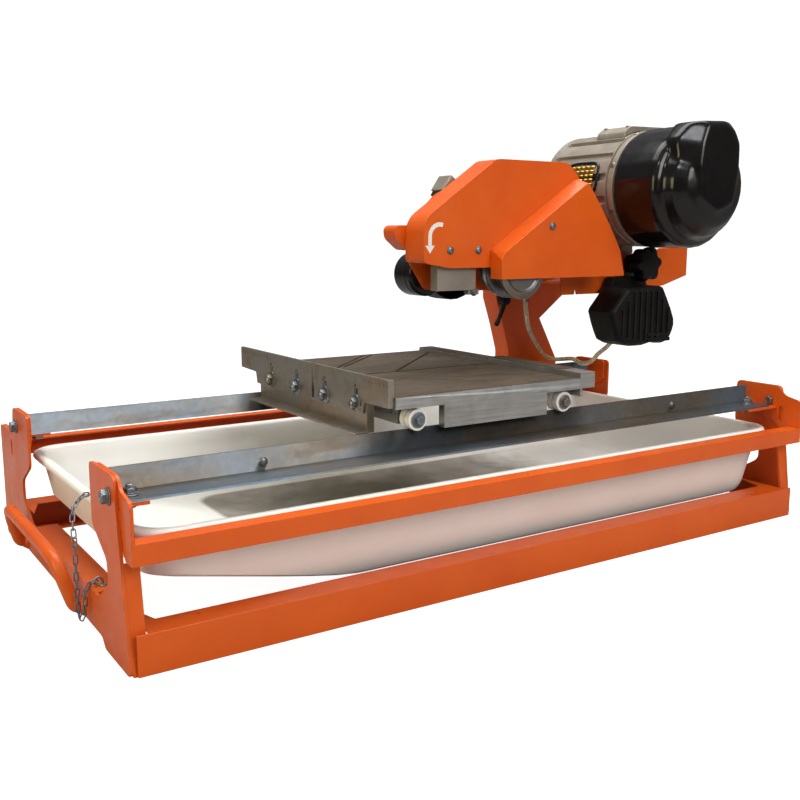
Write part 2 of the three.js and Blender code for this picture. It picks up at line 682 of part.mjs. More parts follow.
// Plate behind the guard's nose, with the hollow pull handle bent from it.
function frontHandle() {
  const plate = plateXZ([
    [-14, 452], [20, 400], [62, 400], [118, 446], [118, 590], [40, 556], [-14, 505],
  ], GUARD_FAR + GAP, GUARD_FAR + 3.3, 8);
  const points = [[-37, 485], [-14, 466], [40, 463], [40, 506], [-33, 506], [-39, 499]];
  const handle = plateXZ(points, GUARD_FAR + GAP, 62, 5);
  const hollow = plateXZ(inset(points, 2.5), GUARD_FAR + 3.3, 63, 3);
  return plate.add(handle).subtract(hollow);
}

function switchHousing() {
  return turned(30, 425.5, [
    [0, 31], [33, 31], [36.5, 34], [36.5, 79], [33, 83], [0, 83],
  ], 28);
}

// Box in the switch's leaning frame: up its sloping face, and inwards from that face.
function leaningBox(up0, up1, in0, in1, y0, y1) {
  const geometry = new THREE.BoxGeometry(up1 - up0, y1 - y0, in1 - in0);
  geometry.translate((up0 + up1) / 2, (y0 + y1) / 2, -(in0 + in1) / 2);
  geometry.rotateY(-SWITCH.lean);
  geometry.translate(SWITCH.x, 0, SWITCH.z);
  return toSolid(geometry);
}

function switchBase() {
  return leaningBox(-8, 34, 20.4, 42, 30.6, 66).add(leaningBox(-8, -0.4, 3, 21, 34, 66));
}

function powerSwitch() {
  return leaningBox(0, 30, 0, 20, 32, 68);
}

function nozzleBlock() {
  const block = box(17, 95, -15, 5, 400, 446);
  const foot = box(82, 104, -12, 0, 392, 401);
  return block.add(foot);
}

// ---------------------------------------------------------------- assembly

const saw = new THREE.Group();
const frame = new THREE.Group();
const carriage = new THREE.Group();
const head = new THREE.Group();
saw.add(frame, carriage, head);
saw.position.set(-CENTRE_X, -CENTRE_Y, 0);

add(frame, 'left_end_frame', endFrame(-1), ORANGE);
add(frame, 'right_end_frame', endFrame(1), ORANGE);
add(frame, 'near_lower_rail', lowerRail(NEAR_Y, -1), ORANGE);
add(frame, 'far_lower_rail', lowerRail(FAR_Y, 1), ORANGE);
add(frame, 'near_side_bar', sideBar(NEAR_LOBE, BAR_NEAR, -1, -264, 166), ORANGE);
add(frame, 'far_side_bar', sideBar(FAR_LOBE, BAR_FAR, 1, 284, 146), ORANGE);
add(frame, 'near_track', track(-1), ZINC);
add(frame, 'far_track', track(1), ZINC);
add(frame, 'water_tray', waterTray(), WHITE);
add(frame, 'left_carrying_bail', carryingBail(-1), ORANGE);
add(frame, 'right_carrying_bail', carryingBail(1), ORANGE);
add(frame, 'tray_chain', bar(CHAIN_ROUTE, 2.4, 6, 26), ZINC);
for (const [side, sideName] of [[-1, 'left'], [1, 'right']]) {
  for (const [sign, depthName] of [[-1, 'near'], [1, 'far']]) {
    const bolt = add(frame, `side_bar_bolt_${depthName}_${sideName}`, hexBolt(8.5, 6, 4.6, 14), ZINC);
    bolt.position.set(side * (END_X + GAP), sign * 240, 200);
    bolt.rotation.y = (-side * Math.PI) / 2;
  }
}
add(frame, 'head_column', headColumn(), ORANGE);
add(frame, 'head_bracket', headBracket(), ORANGE);
add(frame, 'water_inlet', waterInlet(), GREY);
add(frame, 'water_hose', bar(HOSE_ROUTE, 4.5, 8, 34), CLEAR);
add(frame, 'water_pump', waterPump(), MATT_BLACK);
add(frame, 'pump_hanger', pumpHanger(), ZINC);
add(frame, 'star_knob', starKnob(), MATT_BLACK);
add(frame, 'clamp_lever', clampLever(), MATT_BLACK);

add(carriage, 'table_plate', tablePlate(), ALUMINIUM);
add(carriage, 'table_mat', tableMat(), RUBBER);
add(carriage, 'table_end_stop', endStop(), ALUMINIUM);
add(carriage, 'fence_bracket', fenceBracket(), ZINC);
add(carriage, 'fence_plate', fencePlate(), ZINC);
PLATE_SLOTS.forEach((y, i) => {
  const bolt = add(carriage, `fence_bolt_${i + 1}`, hexBolt(8, 5.5, 4.4, 8.5), ZINC);
  bolt.position.set(FENCE_X - 4 - GAP, y, 253);
  bolt.rotation.y = Math.PI / 2;
});
ROLLER_X.forEach((x, i) => {
  for (const [sign, depthName] of [[-1, 'near'], [1, 'far']]) {
    const place = `${depthName}_${['left', 'right'][i]}`;
    const wheel = add(carriage, `track_roller_${place}`, roller(), WHITE);
    wheel.position.set(x, sign * (TRACK_Y + 1.5), TRACK_TOP + ROLLER_R + GAP);
    const axle = add(carriage, `roller_bolt_${place}`, hexBolt(6.5, 4, 4, 38), ZINC);
    axle.position.set(x, sign * (TRACK_Y + 14.2), TRACK_TOP + ROLLER_R + GAP);
    axle.rotation.x = (sign * Math.PI) / 2;
  }
});

add(head, 'blade_guard', bladeGuard(), ORANGE);
add(head, 'guard_side_cover', sideCover(), ORANGE);
add(head, 'head_arm', headArm(), ORANGE);
add(head, 'front_handle', frontHandle(), ORANGE);
add(head, 'switch_housing', switchHousing(), GLOSS_BLACK);
add(head, 'switch_base', switchBase(), MATT_BLACK);
add(head, 'power_switch', powerSwitch(), GREY);
add(head, 'water_nozzle_block', nozzleBlock(), GREY);
add(head, 'spindle_housing', spindleHousing(), STEEL);
add(head, 'spindle', spindle(), STEEL);
add(head, 'outer_flange', outerFlange(), ZINC);
add(head, 'spindle_pulley', pulley(SPINDLE, 11.3, SPINDLE_PULLEY_R), STEEL);
add(head, 'motor_pulley', pulley(MOTOR, 10.3, MOTOR_PULLEY_R), STEEL);
add(head, 'drive_belt', driveBelt(), RUBBER);
add(head, 'belt_cover', beltCover(), MATT_BLACK);
add(head, 'motor_body', motorBody(), GREY);
add(head, 'terminal_box', terminalBox(), GREY);
add(head, 'motor_rotor', motorRotor(), STEEL);
add(head, 'fan_cover', fanCover(), GLOSS_BLACK);

export default saw;
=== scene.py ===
import math

import bmesh
import bpy
from mathutils import Matrix, Vector


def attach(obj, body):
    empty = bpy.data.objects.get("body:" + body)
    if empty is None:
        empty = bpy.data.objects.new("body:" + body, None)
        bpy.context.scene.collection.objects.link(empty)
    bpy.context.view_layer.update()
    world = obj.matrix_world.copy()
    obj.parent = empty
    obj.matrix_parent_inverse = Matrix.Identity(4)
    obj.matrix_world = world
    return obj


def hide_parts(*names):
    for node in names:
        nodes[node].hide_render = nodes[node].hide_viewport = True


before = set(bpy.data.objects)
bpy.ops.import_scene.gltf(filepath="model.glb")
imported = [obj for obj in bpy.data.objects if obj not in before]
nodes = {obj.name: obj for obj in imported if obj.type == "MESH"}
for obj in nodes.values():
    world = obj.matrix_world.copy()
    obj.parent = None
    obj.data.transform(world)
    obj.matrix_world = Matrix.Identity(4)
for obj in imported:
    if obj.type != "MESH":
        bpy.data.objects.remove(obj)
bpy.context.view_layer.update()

scene = bpy.context.scene

# Geometry below is in millimetres, measured from the middle of the tracks. ROW turns it into the frame.
CENTRE = Vector((16.4, 33.0, 0.0))   # middle of the machine's box
ROW = Matrix.Scale(0.001, 4) @ Matrix.Translation(-CENTRE)

# X and Z of the axes that lie across the machine
SPINDLE = (170, 430)
MOTOR = (474, 573)
PIVOT = (500, 436)
LEVER = (398, 356)
SWITCH_DRUM = (30, 425.5)

SIDES = ((-1, "left"), (1, "right"))
DEPTHS = ((-1, "near"), (1, "far"))
BOLT_SEAT = 595.3                    # outer face of the end frames, under the bolts' washers
TRACK_BOLT_X = {"left": -567, "right": 540}
ROLLER_X = {"left": -156, "right": 116}
ROLLER_AXLE_Z = 237.3
FENCE_BOLT_Y = (-130, -38, 54, 146)
GUARD_MIDDLE = 0.5                   # Y of the blade guard's middle plane
GUARD_FACE = -26.1                   # near faces of the guard and of its side cover
COVER_FACE = -56.1


def place(x, y, z):
    return ROW @ Vector((x, y, z))


# ---------------------------------------------------------------- camera

VIEW = Vector((0.5381, 0.8259, -0.1688)).normalized()
camera = bpy.data.objects.new("camera", bpy.data.cameras.new("camera"))
camera.data.sensor_width = 36.0
camera.data.lens = 43.3
camera.location = place(-893, -1300, 490)
camera.rotation_euler = VIEW.to_track_quat("-Z", "Y").to_euler()
scene.collection.objects.link(camera)
scene.camera = camera

# ---------------------------------------------------------------- materials


def linear(r, g, b):
    def channel(value):
        value /= 255.0
        return value / 12.92 if value <= 0.04045 else ((value + 0.055) / 1.055) ** 2.4

    return (channel(r), channel(g), channel(b), 1.0)


class Nodes:
    """A small helper around the node tree of a material or of the world."""

    def __init__(self, owner, shader="Principled BSDF", place="Object"):
        owner.use_nodes = True
        self.owner = owner
        self.tree = owner.node_tree
        self.shader = self.tree.nodes[shader]
        self.place = self.new("TexCoord").outputs[place]

    def feed(self, socket, value):
        """Sets an input to a constant, or links it to another node's output."""
        if isinstance(value, (int, float, tuple)):
            socket.default_value = value
        else:
            self.tree.links.new(value, socket)

    def new(self, kind, **inputs):
        """A node with its inputs fed. A space in an input's name is written as an underscore."""
        node = self.tree.nodes.new("ShaderNode" + kind)
        for name, value in inputs.items():
            self.feed(node.inputs[name.replace("_", " ")], value)
        return node

    def mapped(self, scale):
        return self.new("Mapping", Vector=self.place, Scale=scale).outputs["Vector"]

    def noise(self, scale, detail=4.0, vector=None, roughness=0.55):
        return self.new(
            "TexNoise", Vector=vector or self.place, Scale=scale, Detail=detail, Roughness=roughness,
        ).outputs["Fac"]

    def ramp(self, value, low, high, out_low=0.0, out_high=1.0):
        return self.new(
            "MapRange", Value=value, From_Min=low, From_Max=high, To_Min=out_low, To_Max=out_high,
        ).outputs["Result"]

    def math(self, kind, a, b):
        node = self.new("Math")
        node.operation = kind
        self.feed(node.inputs[0], a)
        self.feed(node.inputs[1], b)
        return node.outputs["Value"]

    def mix(self, factor, a, b):
        node = self.new("Mix")
        node.data_type = "RGBA"
        for name, value in (("Factor", factor), ("A", a), ("B", b)):
            self.feed(node.inputs[name], value)
        return node.outputs["Result"]

    def axis(self, name):
        return self.new("SeparateXYZ", Vector=self.place).outputs[name]

    def normal(self, name):
        geometry = self.new("NewGeometry")
        return self.new("SeparateXYZ", Vector=geometry.outputs["Normal"]).outputs[name]

    def edges(self, radius, low, high):
        """Rises to 1 along sharp edges, where the bevelled normal leaves the true one."""
        bevel = self.new("Bevel", Radius=radius)
        bevel.samples = 4
        dot = self.new("VectorMath")
        dot.operation = "DOT_PRODUCT"
        self.feed(dot.inputs[0], bevel.outputs["Normal"])
        self.feed(dot.inputs[1], self.new("NewGeometry").outputs["Normal"])
        return self.ramp(dot.outputs["Value"], low, high, 1.0, 0.0)

    def bump(self, height, strength, distance):
        node = self.new("Bump", Height=height, Strength=strength, Distance=distance)
        self.feed(self.shader.inputs["Normal"], node.outputs["Normal"])

    def set(self, **inputs):
        """Feeds the shader's inputs and returns what the tree belongs to."""
        for name, value in inputs.items():
            self.feed(self.shader.inputs[name.replace("_", " ")], value)
        return self.owner


def material(name):
    return Nodes(bpy.data.materials.new(name))


def orange_paint():
    n = material("orange_paint")
    cloud = n.noise(7.0, 5.0)
    tone = n.mix(n.ramp(cloud, 0.3, 0.7), linear(208, 82, 16), linear(220, 94, 20))
    # Upward faces get patches of lighter, yellower orange: partly dust, partly painted top light.
    upward_top_light = n.ramp(n.normal("Z"), 0.2, 1.0, 0.03, 0.16)
    dust = n.math("MULTIPLY", n.ramp(n.noise(38.0, 6.0), 0.5, 0.75), upward_top_light)
    tone = n.mix(dust, tone, linear(222, 140, 60))
    patches = n.ramp(n.noise(95.0, 5.0, roughness=0.7), 0.53, 0.6)
    chips = n.math("MULTIPLY", n.edges(0.0022, 0.86, 0.97), patches)
    scars = n.ramp(n.noise(60.0, 8.0, n.mapped((1.0, 1.0, 0.35)), 0.75), 0.70, 0.72)
    worn = n.math("MAXIMUM", n.math("MULTIPLY", chips, 0.8), n.math("MULTIPLY", scars, 0.35))
    tone = n.mix(worn, tone, linear(120, 66, 40))
    rough = n.ramp(n.noise(24.0, 4.0), 0.3, 0.7, 0.27, 0.42)
    n.bump(n.math("ADD", n.noise(420.0, 2.0), n.math("MULTIPLY", worn, -0.8)), 0.22, 0.0005)
    return n.set(
        Base_Color=tone, Roughness=rough, Specular_IOR_Level=0.32, Coat_Weight=0.05, Coat_Roughness=0.2,
    )


def zinc(name, cooler_reflection, warmer_reflection):
    """Galvanised steel: spangled crystals over a painted reflection tint that drifts from cooler to warmer.
    """
    n = material(name)
    crystals = n.new("TexVoronoi", Vector=n.place, Scale=130.0)
    cell = n.new("RGBToBW", Color=crystals.outputs["Color"]).outputs["Val"]
    # The two tints are painted reflections of the surroundings, blended by a cloud.
    cloud = n.noise(9.0, 5.0, n.mapped((0.45, 1.0, 1.0)))
    painted_reflection = n.mix(n.ramp(cloud, 0.38, 0.62), cooler_reflection, warmer_reflection)
    tone = n.mix(n.ramp(cell, 0.0, 1.0, 0.0, 0.12), painted_reflection, linear(176, 180, 184))
    stain = n.ramp(n.noise(34.0, 7.0, n.mapped((0.12, 1.0, 1.0)), 0.7), 0.52, 0.7)
    tone = n.mix(n.math("MULTIPLY", stain, 0.5), tone, linear(112, 98, 82))
    bright = n.edges(0.0012, 0.85, 0.97)
    tone = n.mix(n.math("MULTIPLY", bright, 0.5), tone, linear(226, 228, 228))
    rough = n.math("ADD", n.ramp(n.noise(16.0, 5.0), 0.3, 0.7, 0.34, 0.46), n.math("MULTIPLY", stain, 0.14))
    n.bump(n.math("ADD", n.noise(500.0, 3.0), n.math("MULTIPLY", cell, 0.15)), 0.07, 0.0003)
    return n.set(Base_Color=tone, Roughness=rough, Metallic=0.9)


def aluminium():
    n = material("aluminium")
    brushed = n.noise(500.0, 4.0, n.mapped((0.03, 1.0, 1.0)))
    tone = n.mix(n.ramp(brushed, 0.3, 0.7), linear(152, 153, 152), linear(182, 182, 180))
    smear = n.ramp(n.noise(22.0, 6.0), 0.5, 0.75)
    tone = n.mix(n.math("MULTIPLY", smear, 0.45), tone, linear(120, 112, 102))
    rough = n.ramp(n.noise(60.0, 5.0), 0.3, 0.7, 0.32, 0.5)
    n.bump(brushed, 0.2, 0.0003)
    return n.set(Base_Color=tone, Roughness=rough, Metallic=0.9)


def white_plastic():
    n = material("white_plastic")
    tone = n.mix(n.ramp(n.noise(5.0, 5.0), 0.3, 0.7), linear(246, 244, 240), linear(238, 234, 227))
    scuff = n.ramp(n.noise(48.0, 8.0, n.mapped((0.3, 1.0, 1.0)), 0.75), 0.6, 0.78)
    tone = n.mix(n.math("MULTIPLY", scuff, 0.3), tone, linear(190, 178, 158))
    # Brown film on the low floor under the table: partly silt, partly the table's painted shadow.
    low = n.ramp(n.axis("Z"), 0.0455, 0.0475, 1.0, 0.0)
    far = n.math("ADD", n.axis("X"), n.ramp(n.noise(7.0, 5.0), 0.3, 0.7, -0.06, 0.06))
    low = n.math("MULTIPLY", low, n.ramp(far, 0.24, 0.36, 1.0, 0.12))
    inside = n.ramp(n.normal("Z"), 0.2, 0.8)
    mottle = n.ramp(n.noise(13.0, 7.0), 0.3, 0.62, 0.75, 1.0)
    silt_and_shadow = n.math("MULTIPLY", n.math("MULTIPLY", low, inside), mottle)
    tone = n.mix(n.math("MULTIPLY", silt_and_shadow, 0.85), tone, linear(96, 84, 70))
    rough = n.math("ADD", n.ramp(n.noise(30.0, 4.0), 0.3, 0.7, 0.3, 0.42), n.math("MULTIPLY", silt_and_shadow, 0.3))
    n.bump(n.noise(260.0, 3.0), 0.12, 0.0004)
    return n.set(Base_Color=tone, Roughness=rough, Subsurface_Weight=0.06)


def rubber():
    n = material("rubber")
    streak = n.noise(40.0, 6.0, n.mapped((0.35, 1.0, 1.0)))
    tone = n.mix(n.ramp(streak, 0.3, 0.7), linear(56, 45, 33), linear(74, 61, 45))
    dust = n.ramp(n.noise(11.0, 7.0), 0.5, 0.72)
    tone = n.mix(n.math("MULTIPLY", dust, 0.3), tone, linear(106, 92, 73))
    rough = n.ramp(n.noise(80.0, 4.0), 0.3, 0.7, 0.6, 0.85)
    n.bump(n.noise(900.0, 4.0), 0.5, 0.0004)
    return n.set(Base_Color=tone, Roughness=rough)


def gloss_black():
    n = material("gloss_black")
    tone = n.mix(n.ramp(n.noise(20.0, 6.0), 0.45, 0.8), linear(9, 8, 9), linear(18, 15, 14))
    rough = n.ramp(n.noise(28.0, 6.0), 0.35, 0.75, 0.16, 0.3)
    n.bump(n.noise(120.0, 3.0), 0.05, 0.0005)
    return n.set(
        Base_Color=tone, Roughness=rough, Specular_IOR_Level=0.3, Coat_Weight=0.12, Coat_Roughness=0.1,
    )


def matt_black():
    n = material("matt_black")
    tone = n.mix(n.ramp(n.noise(26.0, 6.0), 0.4, 0.75), linear(10, 9, 10), linear(24, 22, 20))
    rub = n.math("MULTIPLY", n.edges(0.0016, 0.84, 0.97), 0.35)
    tone = n.mix(rub, tone, linear(78, 74, 70))
    rough = n.ramp(n.noise(60.0, 4.0), 0.3, 0.7, 0.42, 0.6)
    n.bump(n.noise(650.0, 4.0), 0.35, 0.0004)
    return n.set(Base_Color=tone, Roughness=rough, Specular_IOR_Level=0.2)


def grey_casting():
    n = material("grey_casting")
    tone = n.mix(n.ramp(n.noise(16.0, 6.0), 0.35, 0.7), linear(126, 118, 108), linear(150, 141, 131))
    grime = n.ramp(n.noise(45.0, 7.0, roughness=0.7), 0.56, 0.75)
    tone = n.mix(n.math("MULTIPLY", grime, 0.4), tone, linear(84, 76, 66))
    bright = n.edges(0.002, 0.86, 0.98)
    tone = n.mix(n.math("MULTIPLY", bright, 0.35), tone, linear(190, 184, 176))
    rough = n.ramp(n.noise(50.0, 5.0), 0.3, 0.7, 0.4, 0.58)
    n.bump(n.noise(480.0, 5.0), 0.4, 0.0005)
    return n.set(Base_Color=tone, Roughness=rough, Metallic=0.35)


def steel():
    n = material("steel")
    tone = n.mix(n.ramp(n.noise(35.0, 6.0), 0.35, 0.7), linear(140, 142, 148), linear(176, 178, 182))
    stain = n.ramp(n.noise(70.0, 6.0), 0.6, 0.75)
    tone = n.mix(n.math("MULTIPLY", stain, 0.5), tone, linear(98, 86, 76))
    rough = n.ramp(n.noise(90.0, 4.0), 0.3, 0.7, 0.24, 0.4)
    n.bump(n.noise(600.0, 3.0), 0.15, 0.0003)
    return n.set(Base_Color=tone, Roughness=rough, Metallic=1.0)


def clear_hose():
    n = material("clear_hose")
    tone = n.mix(n.ramp(n.noise(40.0, 4.0), 0.3, 0.7), linear(214, 200, 168), linear(234, 226, 204))
    rough = n.ramp(n.noise(120.0, 3.0), 0.3, 0.7, 0.18, 0.3)
    n.bump(n.noise(300.0, 2.0), 0.08, 0.0003)
    return n.set(Base_Color=tone, Roughness=rough, Transmission_Weight=0.35, IOR=1.42, Subsurface_Weight=0.2)


def brass():
    n = material("brass")
    tone = n.mix(n.ramp(n.noise(180.0, 4.0), 0.35, 0.7), linear(196, 150, 60), linear(226, 190, 104))
    rough = n.ramp(n.noise(150.0, 3.0), 0.3, 0.7, 0.22, 0.38)
    n.bump(n.noise(700.0, 2.0), 0.15, 0.0002)
    return n.set(Base_Color=tone, Roughness=rough, Metallic=1.0)


MATERIALS = {
    "orange_paint": orange_paint(), "aluminium": aluminium(),
    # The two colours given to each zinc are painted reflection tints.
    "zinc": zinc("zinc", linear(104, 118, 132), linear(118, 106, 90)),
    "bright_zinc": zinc("bright_zinc", linear(150, 148, 142), linear(158, 142, 120)),
    "white_plastic": white_plastic(), "rubber": rubber(), "gloss_black": gloss_black(),
    "matt_black": matt_black(), "grey_casting": grey_casting(), "steel": steel(),
    "clear_hose": clear_hose(), "brass": brass(),
}

# ---------------------------------------------------------------- mesh building


def finish_mesh(obj, slot, body, replaced=(), smooth=35.0, look=None):
    """Shades a piece, gives it its finish, and ties it to a body."""
    mesh = obj.data
    mesh.materials.clear()
    mesh.materials.append(MATERIALS[look or slot])
    for polygon in mesh.polygons:
        polygon.use_smooth = True
        polygon.material_index = 0
    mesh.set_sharp_from_angle(angle=math.radians(smooth))
    weighted = obj.modifiers.new("weighted", "WEIGHTED_NORMAL")
    weighted.keep_sharp = True
    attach(obj, body)
    if replaced:
        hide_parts(*replaced)
    return obj


def make(name, bm, slot, body, replaced=(), smooth=35.0, look=None):
    """Turns millimetre geometry into a finished piece."""
    bmesh.ops.remove_doubles(bm, verts=bm.verts, dist=0.004)
    bmesh.ops.recalc_face_normals(bm, faces=bm.faces)
    bm.transform(ROW)
    mesh = bpy.data.meshes.new(name)
    bm.to_mesh(mesh)
    bm.free()
    obj = bpy.data.objects.new(name, mesh)
    scene.collection.objects.link(obj)
    return finish_mesh(obj, slot, body, replaced, smooth, look)


def sharp_edges(bm, angle, keep=None):
    limit = math.radians(angle)
    found = [e for e in bm.edges if len(e.link_faces) == 2 and e.calc_face_angle(0.0) > limit]
    return [e for e in found if keep is None or keep(e)]


def soften(bm, width, segments=2, angle=28.0, keep=None):
    edges = sharp_edges(bm, angle, keep)
    if edges:
        bmesh.ops.bevel(
            bm, geom=edges, offset=width, segments=segments, profile=0.6,
            affect="EDGES", clamp_overlap=True,
        )


def skin(node, slot, body, width=1.0, segments=2, angle=28.0, smooth=38.0, look=None, steps=()):
    """A finished copy of a CAD node with its edges rounded. The node itself stays as it is."""
    mesh = nodes[node].data.copy()
    mesh.name = node + "_skin"
    bm = bmesh.new()
    bm.from_mesh(mesh)
    bm.transform(Matrix.Scale(1000.0, 4))
    bmesh.ops.remove_doubles(bm, verts=bm.verts, dist=0.02)
    bmesh.ops.dissolve_limit(bm, angle_limit=math.radians(2.0), verts=bm.verts, edges=bm.edges)
    for step_width, keep in steps:
        soften(bm, step_width, segments + 1, angle, keep)
    if width:
        soften(bm, width, segments, angle)
    bm.transform(Matrix.Scale(0.001, 4))
    bm.to_mesh(mesh)
    bm.free()
    obj = bpy.data.objects.new(node + "_skin", mesh)
    scene.collection.objects.link(obj)
    return finish_mesh(obj, slot, body, (node,), smooth, look)


def ring_loft(bm, rings, close_ends=True):
    """Joins rings of points with quads."""
    made = [[bm.verts.new(p) for p in ring] for ring in rings]
    count = len(made[0])
    for a, b in zip(made, made[1:]):
        for i in range(count):
            j = (i + 1) % count
            bm.faces.new([a[i], a[j], b[j], b[i]])
    if close_ends:
        bm.faces.new(list(reversed(made[0])))
        bm.faces.new(made[-1])
    return made


def across(axis):
    """Two directions at right angles to an axis and to each other."""
    axis = axis.normalized()
    side = Vector((0, 0, 1)) if abs(axis.z) < 0.9 else Vector((1, 0, 0))
    u = axis.cross(side).normalized()
    return u, axis.cross(u).normalized()


def lathe(bm, centre, axis, profile, sides=48):
    """Turns a profile of (radius, height) about an axis through the centre."""
    centre, axis = Vector(centre), Vector(axis).normalized()
    u, v = across(axis)
    rings = []
    for radius, height in profile:
        radius = max(radius, 0.02)
        rings.append([
            centre + axis * height
            + u * radius * math.cos(2 * math.pi * i / sides)
            + v * radius * math.sin(2 * math.pi * i / sides)
            for i in range(sides)
        ])
    return ring_loft(bm, rings)


def tube(bm, points, radius, sides=14, closed=False):
    """A round bar along the points, with its section carried along without twist."""
    points = [Vector(p) for p in points]
    count = len(points)
    rings = []
    normal = None
    for i, p in enumerate(points):
        if closed:
            ahead = (points[(i + 1) % count] - points[i - 1]).normalized()
        else:
            ahead = (points[min(i + 1, count - 1)] - points[max(i - 1, 0)]).normalized()
        if normal is None:
            normal = across(ahead)[0]
        normal = (normal - ahead * normal.dot(ahead)).normalized()
        other = ahead.cross(normal)
        r = radius(i / (count - 1)) if callable(radius) else radius
        rings.append([
            p + normal * r * math.cos(2 * math.pi * k / sides)
            + other * r * math.sin(2 * math.pi * k / sides)
            for k in range(sides)
        ])
    if closed:
        rings.append(rings[0])
    return ring_loft(bm, rings, close_ends=not closed)


def smooth_path(points, per_span=8):
    """A uniform Catmull-Rom curve through the points."""
    points = [Vector(p) for p in points]
    full = [points[0] * 2 - points[1]] + points + [points[-1] * 2 - points[-2]]
    out = []
    for i in range(1, len(full) - 2):
        a, b, c, d = full[i - 1:i + 3]
        for k in range(per_span):
            t = k / per_span
            out.append(0.5 * (
                2 * b + (c - a) * t + (2 * a - 5 * b + 4 * c - d) * t * t
                + (3 * b - a - 3 * c + d) * t ** 3
            ))
    out.append(points[-1])
    return out


def block(bm, low, high, width=0.0, segments=2):
    """A box between two corners, with rounded edges."""
    made = bmesh.ops.create_cube(bm, size=1.0)["verts"]
    low, high = Vector(low), Vector(high)
    for v in made:
        v.co = Vector([(low[k] + high[k]) / 2 + v.co[k] * (high[k] - low[k]) for k in range(3)])
    if width:
        edges = list({e for v in made for e in v.link_edges})
        bmesh.ops.bevel(bm, geom=edges, offset=width, segments=segments, profile=0.6, affect="EDGES")


def prism(bm, points, axis, low, high, width=0.0, segments=2):
    """A plate cut from an outline in the plane across an axis ('x', 'y' or 'z')."""
    order = {
        "x": lambda a, b, c: (c, a, b),
        "y": lambda a, b, c: (a, c, b),
        "z": lambda a, b, c: (a, b, c),
    }[axis]
    bottom = [bm.verts.new(order(a, b, low)) for a, b in points]
    top = [bm.verts.new(order(a, b, high)) for a, b in points]
    count = len(points)
    faces = [bm.faces.new(bottom), bm.faces.new(list(reversed(top)))]
    for i in range(count):
        j = (i + 1) % count
        faces.append(bm.faces.new([bottom[j], bottom[i], top[i], top[j]]))
    if width:
        bmesh.ops.recalc_face_normals(bm, faces=faces)
        rims = [e for f in faces[:2] for e in f.edges]
        bmesh.ops.bevel(bm, geom=rims, offset=width, segments=segments, profile=0.6, affect="EDGES")


def hexagon_head(bm, base, axis, radius, height):
    """A hexagon head whose top corners are turned down to a cone, with a shallow dish."""
    base, axis = Vector(base), Vector(axis).normalized()
    u, v = across(axis)
    sides = 48
    flat = radius * math.cos(math.pi / 6)

    def ring(scale, lift, roundness=0.0):
        points = []
        for i in range(sides):
            angle = 2 * math.pi * i / sides
            local = (angle + math.pi / 6) % (math.pi / 3) - math.pi / 6
            hexed = flat / math.cos(local)
            r = (hexed * (1 - roundness) + flat * roundness) * scale
            points.append(base + axis * lift + (u * math.cos(angle) + v * math.sin(angle)) * r)
        return points

    rings = [
        ring(0.96, 0.0), ring(1.0, height * 0.06), ring(1.0, height * 0.72), ring(0.985, height * 0.86, 0.5),
        ring(0.94, height, 1.0), ring(0.72, height, 1.0), ring(0.66, height * 0.92, 1.0),
        ring(0.05, height * 0.9, 1.0),
    ]
    ring_loft(bm, rings)


def washer(bm, base, axis, radius, thickness):
    base = Vector(base)
    profile = [
        (0.1, 0.0), (radius - 0.4, 0.0), (radius, 0.3), (radius, thickness - 0.3), (radius - 0.4, thickness),
        (0.1, thickness),
    ]
    lathe(bm, base, axis, profile, 40)


def bolt(bm, seat, axis, size, stub=0.0, flange=0.0, spring=True):
    """A bolt on a seat: washer or serrated flange, spring washer, head, and a threaded stub past it."""
    seat, axis = Vector(seat), Vector(axis).normalized()
    if flange:
        profile = [(0.1, 0.0), (flange, 0.0), (flange, 0.8), (size * 1.05, 2.4), (0.1, 2.4)]
        rows = lathe(bm, seat, axis, profile, 48)
        for row in (rows[1], rows[2]):
            for i, vert in enumerate(row):
                if i % 4 < 2:
                    vert.co -= (vert.co - seat).normalized() * 0.7
        lift = 2.3
    else:
        washer(bm, seat, axis, size * 1.28, 1.5)
        lift = 1.5
        if spring:
            washer(bm, seat + axis * 1.45, axis, size * 0.98, 1.7)
            lift = 3.1
    hexagon_head(bm, seat + axis * lift, axis, size, size * 0.68)
    if stub:
        profile = [(0.1, 0.0)]
        height = 0.0
        while height < stub:
            profile += [(size * 0.5, height), (size * 0.56, height + 0.45), (size * 0.5, height + 0.9)]
            height += 0.9
        profile += [(size * 0.42, height + 0.6), (0.1, height + 0.6)]
        lathe(bm, seat + axis * (lift + size * 0.5), axis, profile, 20)


# ---------------------------------------------------------------- water hose

HOSE_ROUTE = [
    (388, 200, 369), (389, 201, 350), (424, 231, 300), (468, 256, 262), (500, 264, 234), (519, 254, 225),
    (525, 228, 228), (526, 202, 230.5), (530, 180, 223), (525, 150, 230), (521, 124, 250),
    (519, 100, 266), (516, 82, 282), (504, 74, 299), (488, 66, 310), (480, 55, 312), (480, 43, 312),
]


def water_hose():
    curve = bpy.data.curves.new("clear_water_hose", "CURVE")
    curve.dimensions = "3D"
    curve.bevel_depth = 0.0045
    curve.bevel_resolution = 6
    curve.use_fill_caps = True
    route = [ROW @ p for p in smooth_path(HOSE_ROUTE, 7)]
    spline = curve.splines.new("POLY")
    spline.points.add(len(route) - 1)
    for point, p in zip(spline.points, route):
        point.co = (*p, 1.0)
    spline.use_smooth = True
    curve.materials.append(MATERIALS["clear_hose"])
    hose = bpy.data.objects.new("clear_water_hose", curve)
    scene.collection.objects.link(hose)
    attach(hose, "frame")
    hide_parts("water_hose")


